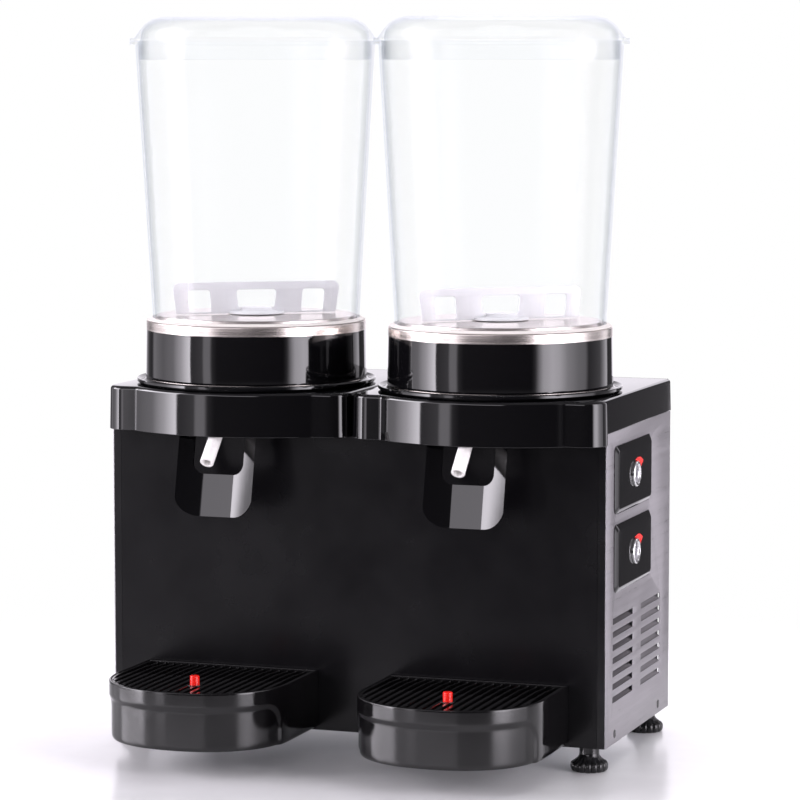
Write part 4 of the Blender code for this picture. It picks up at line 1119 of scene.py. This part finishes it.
def bezel(level):
    """Proud plate with wide chamfers, a well for the knob and a tail that fills the panel's cut-out."""
    low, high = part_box("bezel_" + level)
    centre = (low + high) / 2
    seat, face = MIDDLE_X + BODY_HALF + 0.0003, high.x
    chamfer, corner = 0.0054, 0.007

    def ring(x, inward, radius):
        points = rounded_rectangle(BEZEL_LENGTH / 2 - inward, BEZEL_HEIGHT / 2 - inward, radius, 8)
        return [(x, y, z) for y, z in points]

    tail, rise = seat - 0.007, face - seat
    rings = [
        ring(tail, 0.0066, 0.0035), ring(seat, 0.0066, 0.0035), ring(seat, 0, corner),
        ring(seat + 0.12 * rise, 0, corner),
    ]
    rings += [ring(seat + 0.2 * rise, 0.0003, corner), ring(face - 0.00025, chamfer - 0.0005, corner - 0.003)]
    rings += [ring(face - 0.00005, chamfer, corner - 0.0033), ring(face, chamfer + 0.0005, corner - 0.0035)]
    mesh = skin([[(x - face, y, z) for x, y, z in one] for one in rings])
    knob_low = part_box("knob_" + level)[0]
    well = (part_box("knob_" + level)[1].z - knob_low.z) / 2 + 0.0006
    mesh = carved(mesh, rod(well, (KNOB_SEAT - 0.0003 - face, 0, 0), (0.01, 0, 0), 64))
    mesh = carved(mesh, rod(0.0036, (-0.03, 0, 0), (0.01, 0, 0), 32))
    piece(
        "bezel_plate_" + level, mesh, "machine", "gloss_black", "fascia_black", "bezel_" + level,
        (face, centre.y, centre.z), sharp=24,
    )


def red_mark(level):
    """The spiral wedge printed beside the knob, as a thin raised inlay on the bezel's face."""
    low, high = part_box("bezel_" + level)
    centre = (low + high) / 2
    steps, start, tip, heel = 24, 94, 20, 2
    shares = [i / steps for i in range(steps + 1)]
    outer = [polar(0.0154 + 0.0176 * share**2, start + (tip - start) * share) for share in shares]
    inner = [polar(0.0144, heel + (start - heel) * share) for share in shares]
    mesh = outline_mesh(outer + inner, 0.0, 0.00016)
    mesh.transform(SIDEWAYS)
    piece(
        "red_mark_" + level, mesh, "machine", "red_plastic", "red",
        at=(high.x - 0.00002, centre.y, centre.z),
    )


KNOB_SEAT = MIDDLE_X + 0.2806


def knob(level):
    """Chrome ring round a grey dished face with an S-shaped finger ridge."""
    low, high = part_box("knob_" + level)
    centre, face = (low + high) / 2, high.x - KNOB_SEAT
    radius = (high.z - low.z) / 2
    profile = [(0, face - 0.0019), (0.0096, face - 0.0017), (0.0102, face - 0.0003), (0.0108, face)]
    profile += [
        (0.0126, face), (radius, face - 0.0008), (radius, 0.0002), (0.003, 0.0), (0.003, -0.014),
        (0, -0.014),
    ]
    radii = [0, 0.0005, 0.0003, 0.0003, 0.0005, 0.0004, 0.0003, 0.0003, 0.0003, 0]
    ring = spun(profile, radii, 96)
    ring.transform(Matrix.Rotation(math.pi / 2, 4, "Y"))
    at = (KNOB_SEAT, centre.y, centre.z)
    piece("knob_ring_" + level, ring, "knob_" + level, "knob_grey", "chrome", "knob_" + level, at)
    wave = [(0.0022 * math.sin(math.pi * t), 0.0092 * t) for t in [i / 10 - 1 for i in range(21)]]
    outline = [(x - 0.0015, y) for x, y in wave] + [(x + 0.0015, y) for x, y in reversed(wave)]
    ridge = outline_mesh(outline, -0.0004, 0.0013, edge=0.00035)
    ridge.transform(Matrix.Translation((face - 0.0019, 0, 0)) @ SIDEWAYS)
    disc = turned(
        [(0, 0.00045), (0.009, 0.0003), (0.0094, 0), (0.0094, -0.0004), (0, -0.0004)], 64, closed=False,
    )
    disc.transform(Matrix.Translation((face - 0.0019, 0, 0)) @ Matrix.Rotation(math.pi / 2, 4, "Y"))
    piece("knob_face_" + level, joined(disc, ridge), "knob_" + level, "knob_grey", "knob_grey", at=at)


def foot(end, side):
    """Levelling foot: scalloped base, sloping shoulder, neck and stud."""
    name = f"foot_{end}_{side}"
    low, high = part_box(name)
    centre = (low + high) / 2
    base, tall, lobes = 0.02, 0.01, 16
    profile = [(0, 0), (0.0176, 0), (0.019, 0.001), (0.0198, 0.003), (base, 0.0055), (0.0197, 0.0082)]
    profile += [(0.0186, 0.0098), (0.017, 0.0106), (0.013, 0.0136), (0.0109, 0.0164), (0.0105, 0.019)]
    profile += [(0.0105, 0.0252), (0.01, 0.0256), (0.0047, 0.0256), (0.0047, high.z), (0, high.z)]

    def scalloped(radius, height, angle):
        if radius < 0.0165 or height > tall + 0.001:
            return radius, height
        wave = abs(math.sin(angle * lobes / 2))
        return radius - 0.0015 * (1 - wave) ** 1.6, height

    mesh = turned(profile, 256, closed=False, shape=scalloped)
    piece(
        "levelling_" + name, mesh, name, "black_trim", "foot_black", name, (centre.x, centre.y, 0),
        sharp=45,
    )


# ---------------------------------------------------------------- CAD nodes that stay, with a finish
KEPT_LOOKS = {
    "base_pan": "galvanised",
    "front_panel": "satin_black",
    "corner_post": "post_black",
    "rear_panel": "galvanised",
    "deck_plate": "galvanised",
    "power_inlet": "black_trim",
    "compressor": "black_metal",
    "condenser_fan": "black_metal",
    "condenser": "fins",
    "fan_motor": "black_metal",
    "refrigerant_pipe": "copper",
    "insulation_block": "foam",
    "agitator_motor": "black_metal",
    "magnet_rotor": "magnet",
    "tap_body": "black_trim",
    "lever_pin": "steel",
    "lever_spring": "steel",
}
SOFTENED = (
    "front_panel", "corner_post", "rear_panel", "deck_plate", "base_pan", "tap_body", "agitator_motor",
    "fan_motor",
)


def dress_kept_nodes():
    """Gives each CAD node that stays its material, and softens the edges of the kinds listed in SOFTENED."""
    for name, obj in frame["nodes"].items():
        kind = next((key for key in KEPT_LOOKS if name.startswith(key)), None)
        if kind is None:
            continue
        for slot in obj.material_slots:
            slot.material = LOOKS[KEPT_LOOKS[kind]]
        if kind in SOFTENED:
            soften(obj, 0.00035, 50)


# ---------------------------------------------------------------- stage
# Brightness seen by reflections at each azimuth, in degrees from the front towards +X.
STUDIO = (
    (-180, 1.6), (-150, 1.4), (-140, 0.5), (-128, 0.12), (-118, 0.10), (-112, 1.0), (-92, 1.1), (-75, 2.2),
    (-63, 6.2), (-52, 13.0), (-51, 0.4), (-36, 0.9), (-35, 2.8), (-28, 2.8), (-26, 0.4), (-20, 0.1),
    (50, 0.04), (54, 0.5), (62, 7.0), (72, 8.6), (80, 7.5), (90, 4.2), (104, 2.4), (114, 1.8), (119, 0.3),
    (140, 0.5), (148, 1.4), (156, 2.2), (159, 0.1), (176, 0.1), (178, 1.6),
)
OVERHEAD = 0.35
TABLE = 1.15
# Windows above the horizon: west and east azimuth in degrees, low and high sine of elevation, brightness.
WINDOWS = ((-46, 8, 0.22, 0.42, 3.2), (-92, -55, 0.18, 0.45, 14.0))


def material_of_world():
    """A white backdrop for the eye. Reflections see a studio instead, with its windows, table and ceiling."""
    world = bpy.data.worlds.new("studio")
    bpy.context.scene.world = world
    n = Nodes("studio", world)
    east, south, up = n.add("ShaderNodeSeparateXYZ", {0: n.coordinates["Generated"]}).outputs
    angle = n.maths("ARCTAN2", east, n.maths("MULTIPLY", south, -1.0))
    turn = n.maths("DIVIDE", n.maths("ADD", angle, math.pi), math.tau)
    bearing = n.maths("MULTIPLY", angle, math.degrees(1))
    ramp = n.add("ShaderNodeValToRGB", {0: turn})
    brightest = max(level for _, level in STUDIO)
    elements = ramp.color_ramp.elements
    while len(elements) < len(STUDIO):
        elements.new(0.5)
    for element, (azimuth, level) in zip(elements, STUDIO):
        element.position = (azimuth + 180) / 360
        element.color = (*[level / brightest] * 3, 1)
    around = n.maths("MULTIPLY", ramp.outputs[0], brightest)

    def window(source, low, high, soft):
        opening, closing = n.smooth(source, low - soft, low, 0, 1), n.smooth(source, high, high + soft, 1, 0)
        return n.maths("MULTIPLY", opening, closing)

    def between(share, first, second):
        kept = n.maths("MULTIPLY", first, n.maths("SUBTRACT", 1.0, share))
        return n.maths("ADD", kept, n.maths("MULTIPLY", share, second))

    below = n.smooth(up, -0.34, -0.20, 1, 0)
    sideways = n.smooth(up, 0.40, 0.70, 1, 0)
    level = n.maths("ADD", n.maths("MULTIPLY", n.maths("SUBTRACT", around, OVERHEAD), sideways), OVERHEAD)
    patches = [(below, TABLE)]
    for west, east_end, low, high, strength in WINDOWS:
        share = n.maths("MULTIPLY", window(bearing, west, east_end, 6), window(up, low, high, 0.05))
        patches.append((share, strength))
    for share, strength in patches:
        level = between(share, level, strength)
    paths = n.add("ShaderNodeLightPath").outputs
    eye = n.maths("MAXIMUM", paths["Is Camera Ray"], paths["Is Transmission Ray"])
    strength = n.maths("ADD", n.maths("MULTIPLY", level, n.maths("SUBTRACT", 1.0, eye)), eye)
    background = n.tree.nodes["Background"].inputs
    n.put(background["Color"], n.blend(eye, (1.0, 0.955, 1.03), (1, 1, 1)))
    n.put(background["Strength"], strength)


def top_light():
    """A soft box high behind the machine that faces its middle. It gives light and is never seen itself."""
    azimuth, rise, distance, aim = math.radians(160), math.radians(65), 2.4, Vector((0, 0, 0.40))
    light = bpy.data.lights.new("top_box", "AREA")
    light.shape = "RECTANGLE"
    light.size, light.size_y, light.energy = 2.0, 1.2, 30
    lamp = linked(light, "top_box")
    flat = distance * math.cos(rise)
    lamp.location = (flat * math.sin(azimuth), -flat * math.cos(azimuth), distance * math.sin(rise) + aim.z)
    lamp.rotation_euler = (aim - lamp.location).to_track_quat("-Z", "Y").to_euler()
    lamp.visible_camera = False
    lamp.visible_glossy = False


def floor():
    """A pale glossy table that melts into the backdrop about a metre out."""
    m = Nodes("pale_floor_look")
    m.set(colour=m.blend(m.noise(3, 4), (0.84, 0.84, 0.85), (0.88, 0.88, 0.885)), ior=1.45)
    m.set(roughness=m.span(m.noise(20, 4), 0.3, 0.7, 0.16, 0.24))
    distance = m.add("ShaderNodeVectorMath", {0: m.place}, operation="LENGTH").outputs["Value"]
    nothing = m.add("ShaderNodeBsdfTransparent").outputs[0]
    m.mix(m.smooth(distance, 0.45, 1.0, 0, 1), m.shader.outputs[0], nothing)
    mesh = mesh_of(lambda bm: bmesh.ops.create_circle(bm, cap_ends=True, segments=96, radius=1.1))
    obj = linked(mesh, "floor")
    mesh.materials.append(m.material)


def camera():
    data = bpy.data.cameras.new("camera")
    data.lens = 151.38
    data.sensor_width = 36
    eye = linked(data, "camera")
    eye.location = (1.21896, -3.38214, 0.74245)
    eye.rotation_euler = (math.radians(90 - 5.75), 0, math.radians(19.30))
    bpy.context.scene.camera = eye


# ---------------------------------------------------------------- build
camera()
floor()
material_of_world()
top_light()
bpy.context.scene.view_settings.view_transform = "Standard"

dress_kept_nodes()
for side_name, side_sign in SIDES.items():
    for build in (
        top_cover, drip_gutter, collar, cold_plate, bowl_gasket, bowl, lid, paddle, tap_tube, tap_lever,
        drip_tray, drip_grille, level_float,
    ):
        build(side_name)
    side_panel(side_name, side_sign)
    panel_screws(side_name, side_sign)
    for end_name in ("front", "rear"):
        foot(end_name, side_name)
for level_name in ("upper", "lower"):
    bezel(level_name)
    red_mark(level_name)
    knob(level_name)
